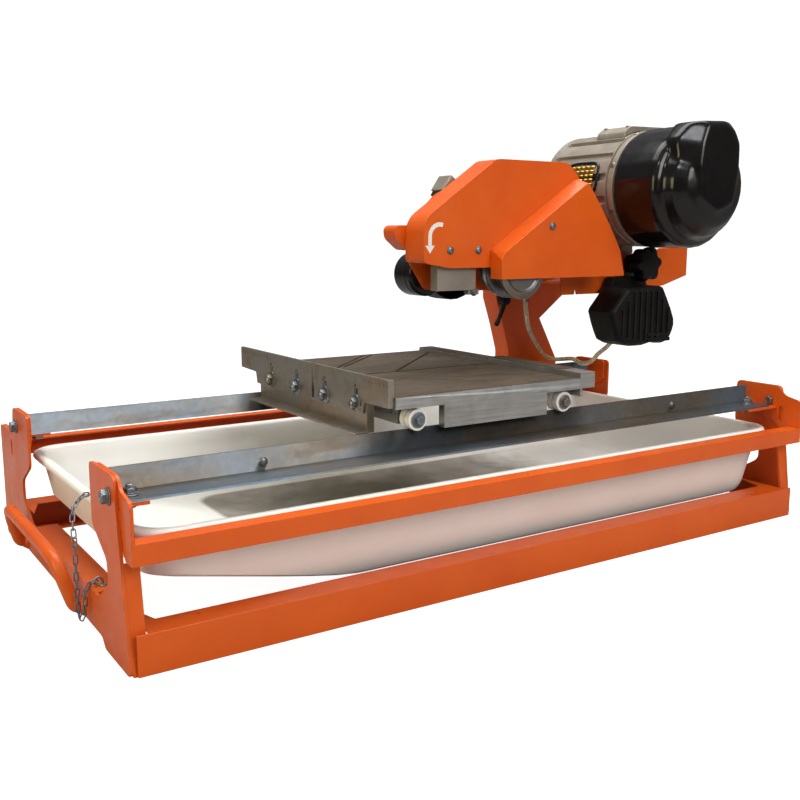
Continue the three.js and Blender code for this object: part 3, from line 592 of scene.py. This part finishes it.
def hose_clamp(name, centre, axis):
    """A band around the hose, with its screw barrel beside it."""
    centre, axis = Vector(centre), Vector(axis)
    bm = bmesh.new()
    lathe(bm, centre, axis, [(4.6, 0.0), (6.0, 0.3), (6.2, 3.0), (6.0, 6.7), (4.6, 7.0)], 32)
    side = across(axis)[0]
    barrel = centre + side * 7 + axis * 3.5
    half = axis.cross(side) * 4
    tube(bm, [barrel - half, barrel + half], 1.7, 12)
    make(name, bm, "zinc", "frame")


water_hose()
hose_clamp("hose_clamp_inlet", (388, 200, 363), (0, 0, -1))
hose_clamp("hose_clamp_pump", (480, 48, 312), (0, -1, 0))

# ---------------------------------------------------------------- frame

for _, side_name in SIDES:
    skin(side_name + "_end_frame", "orange_paint", "frame", 1.3)
for _, depth_name in DEPTHS:
    skin(depth_name + "_lower_rail", "orange_paint", "frame", 1.2)
    skin(depth_name + "_side_bar", "orange_paint", "frame", 1.3)
    skin(depth_name + "_track", "zinc", "frame", 0.7)
skin("head_column", "orange_paint", "frame", 1.3)
skin("head_bracket", "orange_paint", "frame", 1.0)


def carrying_bail(side, side_name):
    """A round bar bent outwards, welded to the end frame at both ends."""
    route = [
        (589, -104, 24), (598, -104, 24.5), (606, -103, 29), (611, -100, 43), (617, -94, 64), (621, -82, 80),
        (624, -64, 87), (624, -30, 88), (624, 53, 88), (624, 137, 88), (624, 171, 87), (621, 191, 80),
        (617, 203, 64), (611, 209, 43), (606, 212, 29), (598, 213, 24.5), (589, 213, 24),
    ]
    start = 595.4
    route = [Vector((side * max(x, start), y, z)) for x, y, z in route]
    bm = bmesh.new()
    tube(bm, smooth_path(route[1:-1], 6), 9.0, 24)
    for y in (-104, 213):
        lathe(bm, (side * start, y, 24), (side, 0, 0), [
            (0.1, 0.0), (12.5, 0.0), (11.6, 1.6), (10.0, 3.4), (9.1, 5.6), (0.1, 5.6),
        ], 28)
    node = side_name + "_carrying_bail"
    make(node + "_skin", bm, "orange_paint", "frame", (node,))


def side_bar_bolt(side, sign, place):
    """A bolt through the end frame. The left ones have no nut, since it would cut into the track."""
    seat = (side * BOLT_SEAT, sign * 240, 200)
    bm = bmesh.new()
    bolt(bm, seat, (side, 0, 0), 8.5)
    lathe(bm, seat, (-side, 0, 0), [(0.1, 0), (4.4, 0), (4.4, 13), (3.6, 13.9), (0.1, 13.9)], 20)
    if side > 0:
        hexagon_head(bm, (586.5, sign * 240, 200), (-1, 0, 0), 8.0, 6.0)
    make(f"side_bar_bolt_{place}_skin", bm, "zinc", "frame", (f"side_bar_bolt_{place}",))


def track_bolt(x, sign, place):
    """A bolt through the track's flange and the tab below it, with a washer and a nut underneath."""
    bm = bmesh.new()
    bolt(bm, (x, sign * 228, 195.1), (0, 0, 1), 8.6, stub=5.0)
    washer(bm, (x, sign * 228, 187.6), (0, 0, -1), 9.4, 1.5)
    hexagon_head(bm, (x, sign * 228, 186.2), (0, 0, -1), 8.6, 6.0)
    make(f"track_bolt_{place}", bm, "zinc", "frame")


def track_rivet(side_name, x):
    bm = bmesh.new()
    lathe(bm, (x, -204.05, 206), (0, -1, 0), [
        (0.1, 0.0), (6.4, 0.0), (6.2, 1.0), (5.2, 2.4), (3.2, 3.3), (0.1, 3.6),
    ], 28)
    lathe(bm, (x, -200.95, 206), (0, 1, 0), [(0.1, 0.0), (5.4, 0.0), (4.8, 1.0), (0.1, 1.2)], 24)
    make(f"track_rivet_{side_name}", bm, "zinc", "frame")


for side, side_name in SIDES:
    carrying_bail(side, side_name)
for side, side_name in SIDES:
    for sign, depth_name in DEPTHS:
        side_bar_bolt(side, sign, f"{depth_name}_{side_name}")
        track_bolt(TRACK_BOLT_X[side_name], sign, f"{depth_name}_{side_name}")
track_rivet("left", -387)
track_rivet("right", 372)

# ---------------------------------------------------------------- water tray

RIM = {"left": -573, "right": 574, "low": -266, "high": 284, "radius": 48}


def tray_ring(z, shape):
    """A rounded rectangle, always with the same count of points."""
    arc = 10                         # steps around each corner
    left, right, low, high, radius = (shape[k] for k in ("left", "right", "low", "high", "radius"))
    corners = [
        (right - radius, high - radius, 0.0), (left + radius, high - radius, 0.5),
        (left + radius, low + radius, 1.0), (right - radius, low + radius, 1.5),
    ]
    points = []
    for index, (cx, cy, turn) in enumerate(corners):
        for k in range(arc + 1):
            angle = math.pi * (turn + 0.5 * k / arc)
            points.append((cx + radius * math.cos(angle), cy + radius * math.sin(angle), z))
        if index == 1:
            points += [(left, high - radius + (low - high + 2 * radius) * k / 8, z) for k in range(1, 8)]
        if index in (0, 2):
            start, end = points[-1][0], corners[(index + 1) % 4][0]
            points += [(start + (end - start) * k / 12, points[-1][1], z) for k in range(1, 12)]
        if index == 3:
            points += [(right, low + radius + (high - low - 2 * radius) * k / 6, z) for k in range(1, 6)]
    return points


def tray_wall(z, wall, shrink=0.0):
    """The tray's section at a height: its sides lean outwards and its floor climbs to the left end."""
    rise = (z - 35.0) / 145.0
    slope = -290 - (z - 35.0 - wall) / 56.0 * 262
    foot = -552 - 14 * (z - 91) / 89.0 + wall
    return {
        "left": max(slope, foot) + shrink, "right": 556 + 16 * rise - wall - shrink,
        "low": -231 - 30 * rise + wall + shrink, "high": 240 + 40 * rise - wall - shrink,
        "radius": 46.0 - wall,
    }


def water_tray():
    """Outer skin from the floor up, over the rolled rim, and down the inside."""
    rings = []
    for z, shrink in ((35.2, 20), (36.2, 13), (38.6, 7), (43, 3), (50, 1)):
        rings.append(tray_ring(z, tray_wall(z, 0, shrink)))
    for z in (58, 66, 74, 82, 88, 92, 95, 98, 101, 106, 114, 124, 132, 137):
        rings.append(tray_ring(z, tray_wall(z, 0)))
    for z, wall, t in (
        (139.5, 0, 0.14), (142, 0, 0.42), (144.6, 0, 0.74), (147.4, 0, 0.93), (150.2, 0, 1.0), (153, 0, 0.97),
        (155.3, 0, 0.84), (156.7, 0, 0.62), (157, 2, 0.4), (156.4, 4, 0.22), (154.6, 4, 0.07),
    ):
        inner = tray_wall(z, wall)
        rings.append(tray_ring(z, {k: inner[k] + (RIM[k] - inner[k]) * t for k in RIM}))
    for z in (151, 144, 134, 124, 114, 108, 104, 101, 98, 95, 90, 84, 76, 68, 60):
        rings.append(tray_ring(z, tray_wall(z, 4)))
    for z, shrink in ((52, 3), (46, 8), (42, 16), (40.2, 27), (39.2, 40)):
        rings.append(tray_ring(z, tray_wall(z, 4, shrink)))
    bm = bmesh.new()
    ring_loft(bm, rings)
    make("water_tray_shell", bm, "white_plastic", "frame", ("water_tray",), 50.0)


water_tray()

# ---------------------------------------------------------------- retaining chain

CHAIN_ROUTE = [
    (-570, -73, 160), (-584, -84, 162), (-603, -108, 150), (-609, -134, 112), (-610, -135, 36),
    (-607, -138, 22), (-603, -142, 36), (-602, -142, 54), (-595, -140, 65), (-582, -138, 67),
]


def retaining_chain():
    """Oval links, each turned a quarter from the last, and the hook that holds them."""
    route = smooth_path(CHAIN_ROUTE, 24)
    step = 9.2                       # from one link to the next
    bm = bmesh.new()
    travelled = 0.0
    centres = [(route[0], route[1] - route[0])]
    for a, b in zip(route, route[1:]):
        travelled += (b - a).length
        if travelled >= step:
            centres.append((b.copy(), (b - a).normalized()))
            travelled = 0.0
    for i, (centre, ahead) in enumerate(centres):
        ahead = ahead.normalized()
        flat = across(ahead)[i % 2]
        half, radius = 3.6, 2.7
        loop = []
        for k in range(16):
            angle = 2 * math.pi * k / 16
            stretch = half if math.cos(angle) > 0 else -half
            along = radius * math.cos(angle) + stretch
            loop.append(centre + ahead * along + flat * radius * math.sin(angle))
        tube(bm, loop, 0.95, 8, closed=True)
    make("tray_chain_links", bm, "zinc", "frame", ("tray_chain",), 60.0)
    bm = bmesh.new()
    hook = smooth_path([
        (-579, -138, 60.6), (-579, -138, 66), (-583, -138, 71), (-588, -138, 69), (-588.5, -138, 64),
        (-585.5, -138, 61.4),
    ], 8)
    tube(bm, hook, 1.5, 12)
    washer(bm, (-579, -138, 60.2), (0, 0, 1), 5.5, 1.2)
    make("chain_hook", bm, "steel", "frame")


retaining_chain()

# ---------------------------------------------------------------- water inlet and pump

skin("water_inlet", "grey_casting", "frame", 0.5)
skin("pump_hanger", "zinc", "frame", 0.4)


def water_pump():
    outline = [
        (409, 296), (424, 289), (440, 286), (456, 285.5), (470, 285.5), (484, 288), (497, 291), (508, 288),
        (524, 287), (537, 290), (545, 297), (551, 308), (555, 320), (554, 332), (546, 350), (533, 374),
        (521, 394), (516, 396),
        (472, 396), (428, 396), (422, 394), (406, 376), (388, 356), (386, 350), (393, 330), (402, 309),
    ]
    centre = Vector((471, 342))
    bm = bmesh.new()
    rings = []
    for y, shrink in ((24.4, 9), (22.5, 4), (18, 1), (12, 0), (-34, 0), (-39, 1), (-43, 4), (-45, 9)):
        rings.append([
            (x + (centre.x - x) * shrink / 84, y, z + (centre.y - z) * shrink / 56) for x, z in outline
        ])
    ring_loft(bm, rings)
    prism(bm, [(426, 390), (529, 390), (518, 412), (437, 412)], "y", 4.2, 24.8, 2.5, 3)
    for i in range(9):
        x = 412 + i * 15.0
        low = 296 + abs(i - 4) * 2.4
        high = 388 - max(0, 2 - i) * 16 - max(0, i - 6) * 16
        prism(bm, [(x - 2.4, low), (x + 2.4, low), (x + 2.4, high), (x - 2.4, high)], "y", -49, -40, 1.4, 3)
    for low, high in ((292, 299), (303, 308)):
        block(bm, (478, -48, low), (538, -40, high), 1.6, 2)
    lathe(bm, (480, 24, 312), (0, 1, 0), [
        (0.1, -1), (9, -1), (9, 6), (8, 7), (4.6, 7.4), (4.1, 16.4), (0.1, 16.6),
    ], 32)
    make("water_pump_shell", bm, "matt_black", "frame", ("water_pump",))
    bm = bmesh.new()
    prism(bm, [(550, 322), (556, 322), (534, 366), (528, 366)], "y", -30, 10, 1.5, 2)
    make("pump_side_strip", bm, "grey_casting", "frame")


water_pump()

# ---------------------------------------------------------------- star knob and clamp lever


def star_knob():
    """A six-lobed grip, its stem and hub, and the stud behind them."""
    bm = bmesh.new()
    rings = []
    sides = 144
    for y, size, depth in (
        (-30.0, 9, 0.0), (-29.4, 14, 0.1), (-27.6, 19, 0.35), (-27.9, 22, 0.6), (-26.4, 26.5, 0.85),
        (-23.5, 29.2, 1.0), (-18, 30.0, 1.0), (-8, 30.0, 1.0), (-2.5, 28.8, 0.95), (0.6, 26, 0.8),
        (2, 20, 0.4), (2.4, 12, 0.0), (3.4, 9.6, 0.0), (16, 9.6, 0.0), (16.2, 17, 0.0), (17.2, 18, 0.0),
        (24.8, 18, 0.0), (25.6, 17.2, 0.0), (25.7, 9.4, 0.0), (31.5, 9.4, 0.0), (31.6, 6, 0.0), (48, 6, 0.0),
        (61, 6, 0.0), (62, 5.4, 0.0), (62, 0.1, 0.0),
    ):
        ring = []
        for i in range(sides):
            angle = 2 * math.pi * i / sides
            wave = math.cos(6 * (angle - math.radians(7.5)))
            lobe = math.copysign(abs(wave) ** 0.7, wave)
            reach = size * (1 + depth * (0.13 * lobe))
            ring.append((PIVOT[0] + reach * math.cos(angle), y, PIVOT[1] + reach * math.sin(angle)))
        rings.append(ring)
    ring_loft(bm, rings)
    make("star_knob_skin", bm, "matt_black", "knob", ("star_knob",), 42.0)


star_knob()


def clamp_lever():
    bm = bmesh.new()
    lathe(bm, (LEVER[0], 0, LEVER[1]), (0, 1, 0), [
        (0.1, 270), (8, 270), (10.4, 271.4), (11, 273.5), (11, 287), (10, 289.4), (0.1, 289.6),
    ], 36)
    path = smooth_path([(398, 277, 354), (391, 276, 338), (383, 275.5, 322), (376, 275, 309)], 6)
    tube(bm, path, lambda t: 5.6 - 1.8 * t + (1.4 if t > 0.85 else 0.0), 18)
    lathe(bm, (375, 275, 308), Vector((-0.48, 0, -0.88)), [
        (0.1, -4), (3.5, -3.5), (5.0, -1.5), (5.4, 0.5), (5.0, 2.5), (3.5, 4.6), (1.4, 5.6), (0.1, 5.8),
    ], 24)
    make("clamp_lever_skin", bm, "matt_black", "lever", ("clamp_lever",))


clamp_lever()

# ---------------------------------------------------------------- table

skin("table_plate", "aluminium", "carriage", 0.8)
skin("table_end_stop", "aluminium", "carriage", 0.8)


def end_stop_pad():
    """Rubber on the two steps of the end stop's top."""
    bm = bmesh.new()
    block(bm, (142.8, -176, 280.6), (171.8, 7.8, 282.2), 0.5)
    block(bm, (142.8, 8.2, 276.7), (171.8, 221.5, 278.4), 0.5)
    make("end_stop_pad", bm, "rubber", "carriage")


end_stop_pad()


def cut(target, shape):
    """Cuts a closed shape from the target."""
    bmesh.ops.recalc_face_normals(shape, faces=shape.faces)
    mesh = bpy.data.meshes.new("cutter")
    shape.to_mesh(mesh)
    shape.free()
    cutter = bpy.data.objects.new("cutter", mesh)
    scene.collection.objects.link(cutter)
    modifier = target.modifiers.new("cut", "BOOLEAN")
    modifier.operation = "DIFFERENCE"
    modifier.solver = "EXACT"
    modifier.object = cutter
    bpy.context.view_layer.update()
    graph = bpy.context.evaluated_depsgraph_get()
    result = bpy.data.meshes.new_from_object(target.evaluated_get(graph))
    target.modifiers.clear()
    target.data = result
    bpy.data.objects.remove(cutter)


def table_mat():
    """The ribbed mat, with the blade's kerf cut through it and shallow grooves in its top."""
    left, right, half = -196.8, 141.8, 218.4
    bm = bmesh.new()
    block(bm, (left, -half, 268.4), (right, half, 272.0))
    bmesh.ops.recalc_face_normals(bm, faces=bm.faces)
    mesh = bpy.data.meshes.new("table_mat_grooved")
    bm.to_mesh(mesh)
    bm.free()
    mat = bpy.data.objects.new("table_mat_grooved", mesh)
    scene.collection.objects.link(mat)
    shape = bmesh.new()
    block(shape, (left - 2, -3.0, 266), (right - 14, 3.0, 274))
    cut(mat, shape)
    for a, b, width in (
        ((-50, 5), (136, 182), 4.6), ((-98, 93), (49, 229), 4.6), ((-196, 10), (30, 229), 4.0),
        ((-50, -5), (136, -182), 4.6), ((-150, -5), (70, -216), 4.0),
        ((-210, -211), (150, -211), 2.6), ((-210, 211), (150, 211), 2.6),
    ):
        a, b = Vector((*a, 0)), Vector((*b, 0))
        along = (b - a).normalized()
        side = Vector((-along.y, along.x, 0)) * width / 2
        shape = bmesh.new()
        prism(shape, [(p.x, p.y) for p in (a - side, b - side, b + side, a + side)], "z", 269.3, 275)
        cut(mat, shape)
    bm = bmesh.new()
    bm.from_mesh(mat.data)
    bmesh.ops.remove_doubles(bm, verts=bm.verts, dist=0.01)
    bmesh.ops.dissolve_limit(bm, angle_limit=math.radians(1.0), verts=bm.verts, edges=bm.edges)
    soften(bm, 0.35, 1, 40.0)
    bm.transform(ROW)
    bm.to_mesh(mat.data)
    bm.free()
    finish_mesh(mat, "rubber", "carriage", ("table_mat",), 30.0)


table_mat()


def track_roller(x, sign, place):
    """A grooved plastic roller around its bore."""
    centre = Vector((x, sign * 202.5, ROLLER_AXLE_Z))
    profile = [
        (4.6, -12), (9.5, -12), (10, -11.4), (12.4, -11.2), (13, -12), (15.0, -12), (15.5, -11.5),
        (15.5, -3.7), (15.1, -3.2), (13.4, -2.9), (13.0, -2.5), (13.0, 2.5), (13.4, 2.9), (15.1, 3.2),
        (15.5, 3.7), (15.5, 11.5), (15.0, 12), (13, 12), (12.4, 11.2), (10, 11.4), (9.5, 12), (4.6, 12),
        (4.6, -12),
    ]
    u, v = across(Vector((0, 1, 0)))
    angles = [2 * math.pi * k / 48 for k in range(48)]
    bm = bmesh.new()
    ring_loft(bm, [
        [centre + Vector((0, h, 0)) + (u * math.cos(a) + v * math.sin(a)) * r for a in angles]
        for r, h in profile
    ], close_ends=False)
    node = f"track_roller_{place}"
    make(node + "_skin", bm, "white_plastic", f"roller_{place}", (node,))


def roller_bolt(x, sign, place):
    """The roller's axle bolt on its wide washer."""
    seat = Vector((x, sign * 215.4, ROLLER_AXLE_Z))
    bm = bmesh.new()
    washer(bm, seat, (0, sign, 0), 11.2, 1.3)
    bolt(bm, seat + Vector((0, sign * 1.25, 0)), (0, sign, 0), 7.6, spring=False)
    lathe(bm, seat, (0, -sign, 0), [(0.1, 0.0), (4.0, 0.0), (4.0, 37), (3.4, 38), (0.1, 38)], 24)
    node = f"roller_bolt_{place}"
    make(node + "_skin", bm, "zinc", "carriage", (node,))


for _, side_name in SIDES:
    for sign, depth_name in DEPTHS:
        track_roller(ROLLER_X[side_name], sign, f"{depth_name}_{side_name}")
        roller_bolt(ROLLER_X[side_name], sign, f"{depth_name}_{side_name}")

# ---------------------------------------------------------------- fence

skin("fence_bracket", "zinc", "carriage", 0.6, look="bright_zinc")
skin("fence_plate", "zinc", "fence", 0.6, look="bright_zinc")


def fence_marks():
    """Plain scale marks every 10 mm, longer every 50 mm."""
    bm = bmesh.new()
    for y in list(range(150, 262, 10)) + list(range(-205, -150, 10)):
        tall = 7.0 if y % 50 == 0 else 4.0
        block(bm, (-206.12, y - 0.35, 291 - tall), (-205.9, y + 0.35, 291))
    make("fence_scale_marks", bm, "matt_black", "fence")


fence_marks()

for i, y in enumerate(FENCE_BOLT_Y):
    bm = bmesh.new()
    bolt(bm, (-206.3, y, 253), (-1, 0, 0), 8.8, stub=3.0, flange=13.5)
    lathe(bm, (-206.3, y, 253), (1, 0, 0), [(0.1, 0), (4.3, 0), (4.3, 7.6), (3.7, 8.4), (0.1, 8.4)], 20)
    make(f"fence_bolt_{i + 1}_skin", bm, "zinc", "carriage", (f"fence_bolt_{i + 1}",))

# ---------------------------------------------------------------- saw head



def guard_rim(edge):
    """Whether an edge lies on one of the guard's two faces, above its open bottom."""
    outside = min(abs(v.co.y + CENTRE.y - GUARD_MIDDLE) for v in edge.verts) > 26.0
    return outside and min(v.co.z for v in edge.verts) > 452


skin("blade_guard", "orange_paint", "head", 0.5, 1, steps=((4.0, guard_rim),))
skin("guard_side_cover", "orange_paint", "head", 0.6, 2)
skin("head_arm", "orange_paint", "head", 1.0)
skin("front_handle", "orange_paint", "head", 0.9)
skin("water_nozzle_block", "grey_casting", "head", 2.0, 3)
skin("switch_base", "matt_black", "head", 1.4, 3)
skin("power_switch", "grey_casting", "switch_lid", 1.8, 3)
skin("belt_cover", "matt_black", "head", 0.9, 2)
skin("terminal_box", "grey_casting", "head", 2.5, 3)


def guard_screws():
    for name, x, z, y in (
        ("guard_screw_left", 34, 466, GUARD_FACE), ("guard_screw_right", 91, 466, GUARD_FACE),
        ("cover_screw", 225, 505, COVER_FACE),
    ):
        bm = bmesh.new()
        lathe(bm, (x, y, z), (0, -1, 0), [
            (0.1, 0.0), (6.4, 0.0), (6.6, 0.5), (6.2, 1.8), (4.8, 3.0), (2.6, 3.5), (2.4, 2.0), (0.1, 1.9),
        ], 32)
        make(name, bm, "zinc", "head")


def rotation_arrow():
    """A plain curved arrow on the guard: an arc, a short straight and a triangle."""
    bm = bmesh.new()
    centre, radius = Vector((13, 0, 488)), 19.0
    arc = []
    for k in range(13):
        angle = math.radians(72 + 100 * k / 12)
        arc.append((centre.x + radius * math.cos(angle), centre.z + radius * math.sin(angle)))
    arc += [(centre.x - radius, centre.z - 5 * k) for k in range(1, 4)]
    half = 3.4                       # half the stroke's width
    near, far = -26.35, -26.05
    inner, outer = [], []
    for i, (x, z) in enumerate(arc):
        a, b = Vector(arc[max(i - 1, 0)]), Vector(arc[min(i + 1, len(arc) - 1)])
        side = (b - a).normalized()
        outer.append((x + side.y * half, z - side.x * half))
        inner.append((x - side.y * half, z + side.x * half))
    tip_x, tip_z = arc[-1]
    for a, b in zip(range(len(arc) - 1), range(1, len(arc))):
        prism(bm, [inner[a], inner[b], outer[b], outer[a]], "y", near, far)
    prism(bm, [(tip_x - 9, tip_z + 0.5), (tip_x + 9, tip_z + 0.5), (tip_x, tip_z - 12)], "y", near, far)
    make("rotation_arrow", bm, "white_plastic", "head")


def nozzle_block_bolt():
    bm = bmesh.new()
    bolt(bm, (93, -12.1, 396.5), (0, -1, 0), 5.5)
    make("nozzle_block_bolt", bm, "zinc", "head")


guard_screws()
rotation_arrow()
nozzle_block_bolt()


def turned_piece(node, axle, profile, slot, body):
    """Stands in for a CAD node that is turned about an axis across the machine."""
    bm = bmesh.new()
    lathe(bm, (axle[0], 0, axle[1]), (0, 1, 0), profile, 64)
    make(node + "_skin", bm, slot, body, (node,))


turned_piece("switch_housing", SWITCH_DRUM, [
    (0.1, 31), (32, 31), (34.5, 32), (36, 34), (36.5, 37), (36.5, 46), (35.8, 46.6), (35.8, 48), (36.5, 48.6),
    (36.5, 77), (35.6, 80.6), (33, 83), (30, 83.0), (28.5, 82), (20, 82), (0.1, 82),
], "gloss_black", "head")
turned_piece("outer_flange", SPINDLE, [
    (9.3, -46), (30, -46), (33, -46.6), (35, -48.6), (36, -49), (38.5, -49), (40, -48.6), (46.4, -46.4),
    (47, -45.4), (47, -41.6), (46.2, -40.8), (33, -37.4), (32, -36), (32, -14), (33, -12.6), (43.2, -11.2),
    (45.8, -9.6), (46, -8.8), (46, -5.6), (45.2, -5), (9.3, -5),
], "zinc", "spindle")
turned_piece("spindle", SPINDLE, [
    (0.1, -50), (6.6, -50), (7.4, -49.4), (9, -48), (9, -1), (43.4, -1), (44, -0.4), (44, 6.6), (43, 7.2),
    (22, 10), (13, 11), (13, 156), (11, 157), (11, 188.6), (9.8, 190), (0.1, 190),
], "steel", "spindle")
turned_piece("spindle_housing", SPINDLE, [
    (14, 29), (23, 29), (24, 30), (24, 36), (27, 36.6), (28, 38), (28, 139), (29, 140.4), (35, 141),
    (36, 142), (36, 149), (35, 150), (14, 150),
], "steel", "head")

# ---------------------------------------------------------------- motor


def motor_body():
    """A barrel with round-ended grooves along it, and its feet."""
    bm = bmesh.new()
    sides = 480
    grooved = 98.0                   # radius at the bottom of the grooves
    stations = [
        (-48.0, 96), (-47.8, 102.0), (-46.8, 103.6), (-45, 104), (-36, 104), (-34.4, 103.4), (-33, 101),
        (-31, 98.6),
    ]
    stations += [(-29 + i * 3.0, grooved) for i in range(50)]
    stations += [(122, 98), (124, 99), (126, 102), (128, 104), (132, 104), (134, 103), (137, 100), (142, 94)]
    stations += [(147, 88.5), (149.4, 86), (150, 84), (150, 30), (149, 26), (149, 16), (150, 14)]
    rings = []
    for y, base in stations:
        ring = []
        for i in range(sides):
            angle = 2 * math.pi * i / sides
            r = base
            if base == grooved:
                turn = 11.25 - abs((math.degrees(angle) + 11) % 22.5 - 11.25)
                end = min(1.0, (y + 27) / 7.0, (119 - y) / 7.0)
                half = 3.3 * math.sqrt(max(0.0, 1 - (1 - end) ** 2)) if end > 0 else 0.0
                side = min(1.0, max(0.0, (turn - half) / 1.5 + 0.5)) if half else 1.0
                r += 5.6 * (3 * side ** 2 - 2 * side ** 3)
            ring.append((MOTOR[0] + r * math.cos(angle), y, MOTOR[1] + r * math.sin(angle)))
        rings.append(ring)
    ring_loft(bm, rings)
    for y in (62, 122):
        for x0, x1 in ((418, 446), (502, 534)):
            block(bm, (x0, y - 9, 455.4), (x1, y + 9, 492), 2.0, 3)
        block(bm, (416, y - 8, 455.4), (536, y + 8, 463), 2.0, 3)
    make("motor_body_skin", bm, "grey_casting", "head", ("motor_body",), 40.0)


def motor_ring_screws():
    for i in range(8):
        angle = math.radians(22.5 + 45 * i)
        u = Vector((math.cos(angle), 0, math.sin(angle)))
        centre = Vector((MOTOR[0], -40, MOTOR[1])) + u * 103.4
        bm = bmesh.new()
        lathe(bm, centre, u, [(0.1, 0), (5.2, 0), (5.0, 1.4), (3.6, 2.4), (1.6, 2.7), (0.1, 2.2)], 24)
        make(f"motor_ring_screw_{i + 1}", bm, "zinc", "head")


motor_body()
motor_ring_screws()


def motor_window():
    """A dark oval window in the barrel with the copper ends of the winding behind it."""
    def on_barrel(angle, y, radius):
        angle = math.radians(angle)
        return Vector((MOTOR[0] + radius * math.cos(angle), y, MOTOR[1] + radius * math.sin(angle)))

    mid_angle, mid_y = 169, 34
    loop, plate = [], []
    for k in range(56):
        turn = 2 * math.pi * k / 56
        squash_a = math.copysign(abs(math.cos(turn)) ** 0.45, math.cos(turn))
        squash_y = math.copysign(abs(math.sin(turn)) ** 0.45, math.sin(turn))
        plate.append((mid_angle + 15.5 * squash_a, mid_y + 41 * squash_y))
        loop.append(on_barrel(*plate[-1], 103.4))
    bm = bmesh.new()
    tube(bm, loop, 3.0, 12, closed=True)
    ring_loft(bm, [
        [on_barrel(mid_angle + (a - mid_angle) * f, mid_y + (y - mid_y) * f, radius) for a, y in plate]
        for f, radius in ((0.05, 96), (0.6, 96), (1.0, 96), (1.0, 102.6), (0.6, 102.6), (0.05, 102.6))
    ])
    make("motor_window_frame", bm, "gloss_black", "head")
    bm = bmesh.new()
    for i in range(6):
        angle = 158.5 + i * 4.3
        path = [on_barrel(angle, 4 + k * 6, 103.2 + (1.4 if k % 2 else 0.0)) for k in range(11)]
        tube(bm, smooth_path(path, 4), 2.9, 12)
    make("motor_window_coils", bm, "steel", "head", look="brass")


motor_window()
for i, (x, y) in enumerate(((440, -12), (520, -12), (440, 42), (520, 42))):
    bm = bmesh.new()
    lathe(bm, (x, y, 684.6), (0, 0, 1), [(0.1, -0.4), (3.6, -0.4), (3.5, 0.8), (2.4, 1.6), (0.1, 1.7)], 20)
    make(f"terminal_box_screw_{i + 1}", bm, "zinc", "head")


def fan_cover():
    """The CAD cowl, remeshed and relaxed so that its facets run into each other."""
    source = nodes["fan_cover"].data.copy()
    source.name = "fan_cover_skin"
    cover = bpy.data.objects.new("fan_cover_skin", source)
    scene.collection.objects.link(cover)
    remesh = cover.modifiers.new("remesh", "REMESH")
    remesh.mode = "VOXEL"
    remesh.voxel_size = 0.002
    relax = cover.modifiers.new("relax", "SMOOTH")
    relax.factor = 0.6
    relax.iterations = 30
    bpy.context.view_layer.update()
    graph = bpy.context.evaluated_depsgraph_get()
    result = bpy.data.meshes.new_from_object(cover.evaluated_get(graph))
    cover.modifiers.clear()
    cover.data = result
    cover.data.name = "fan_cover_skin"
    finish_mesh(cover, "gloss_black", "head", ("fan_cover",), 80.0)


fan_cover()

# ---------------------------------------------------------------- carried-over CAD nodes

for name, slot in (
    ("spindle_pulley", "steel"), ("motor_pulley", "steel"),
    ("drive_belt", "rubber"), ("motor_rotor", "steel"),
):
    for entry in nodes[name].material_slots:
        entry.material = MATERIALS[slot]

# ---------------------------------------------------------------- floor and light

floor_mesh = bpy.data.meshes.new("floor")
bm = bmesh.new()
turns = [2 * math.pi * i / 64 for i in range(64)]
bm.faces.new([bm.verts.new((40 * math.cos(t), 40 * math.sin(t), -0.0006)) for t in turns])
bm.to_mesh(floor_mesh)
bm.free()
floor = bpy.data.objects.new("floor", floor_mesh)
scene.collection.objects.link(floor)
floor_look = material("floor_paper")
floor_tone = floor_look.mix(floor_look.noise(2.0, 3.0), linear(172, 172, 172), linear(168, 168, 167))
floor_rays = floor_look.new("LightPath").outputs["Is Camera Ray"]
floor_mesh.materials.append(floor_look.set(
    Base_Color=floor_tone, Roughness=0.9, Emission_Color=linear(250, 250, 250),
    Emission_Strength=floor_rays,
))

# A pale room that lights the object, and plain white where the camera sees it.
world = Nodes(bpy.data.worlds.new("studio"), "Background", "Generated")
scene.world = world.owner
room = world.mix(
    world.ramp(world.axis("Z"), -0.1, 0.75), linear(150, 138, 126), linear(240, 240, 244),
)
camera_rays = world.new("LightPath").outputs["Is Camera Ray"]
world.set(Color=world.mix(camera_rays, room, (3.0, 3.0, 3.0, 1.0)), Strength=0.36)


def softbox(name, location, aim, size, power, colour):
    lamp = bpy.data.lights.new(name, "AREA")
    lamp.shape = "RECTANGLE"
    lamp.size, lamp.size_y = size
    lamp.energy = power
    lamp.color = colour
    obj = bpy.data.objects.new(name, lamp)
    obj.location = location
    obj.rotation_euler = (Vector(aim) - Vector(location)).to_track_quat("-Z", "Y").to_euler()
    scene.collection.objects.link(obj)


softbox("top_light", (0.1, 0.3, 2.5), (0.0, 0.0, 0.2), (2.4, 1.8), 72.0, (1.0, 0.99, 0.95))
softbox("key_light", (0.5, -2.6, 1.5), (0.0, 0.0, 0.3), (1.4, 1.0), 38.0, (1.0, 0.98, 0.93))
softbox("left_light", (-2.6, -0.6, 1.1), (0.0, 0.0, 0.25), (1.2, 1.0), 21.0, (1.0, 0.88, 0.52))
softbox("window_light", (-1.1, -1.7, 2.1), (0.35, -0.1, 0.5), (0.5, 0.35), 9.0, (0.96, 0.98, 1.0))

scene.view_settings.view_transform = "Standard"
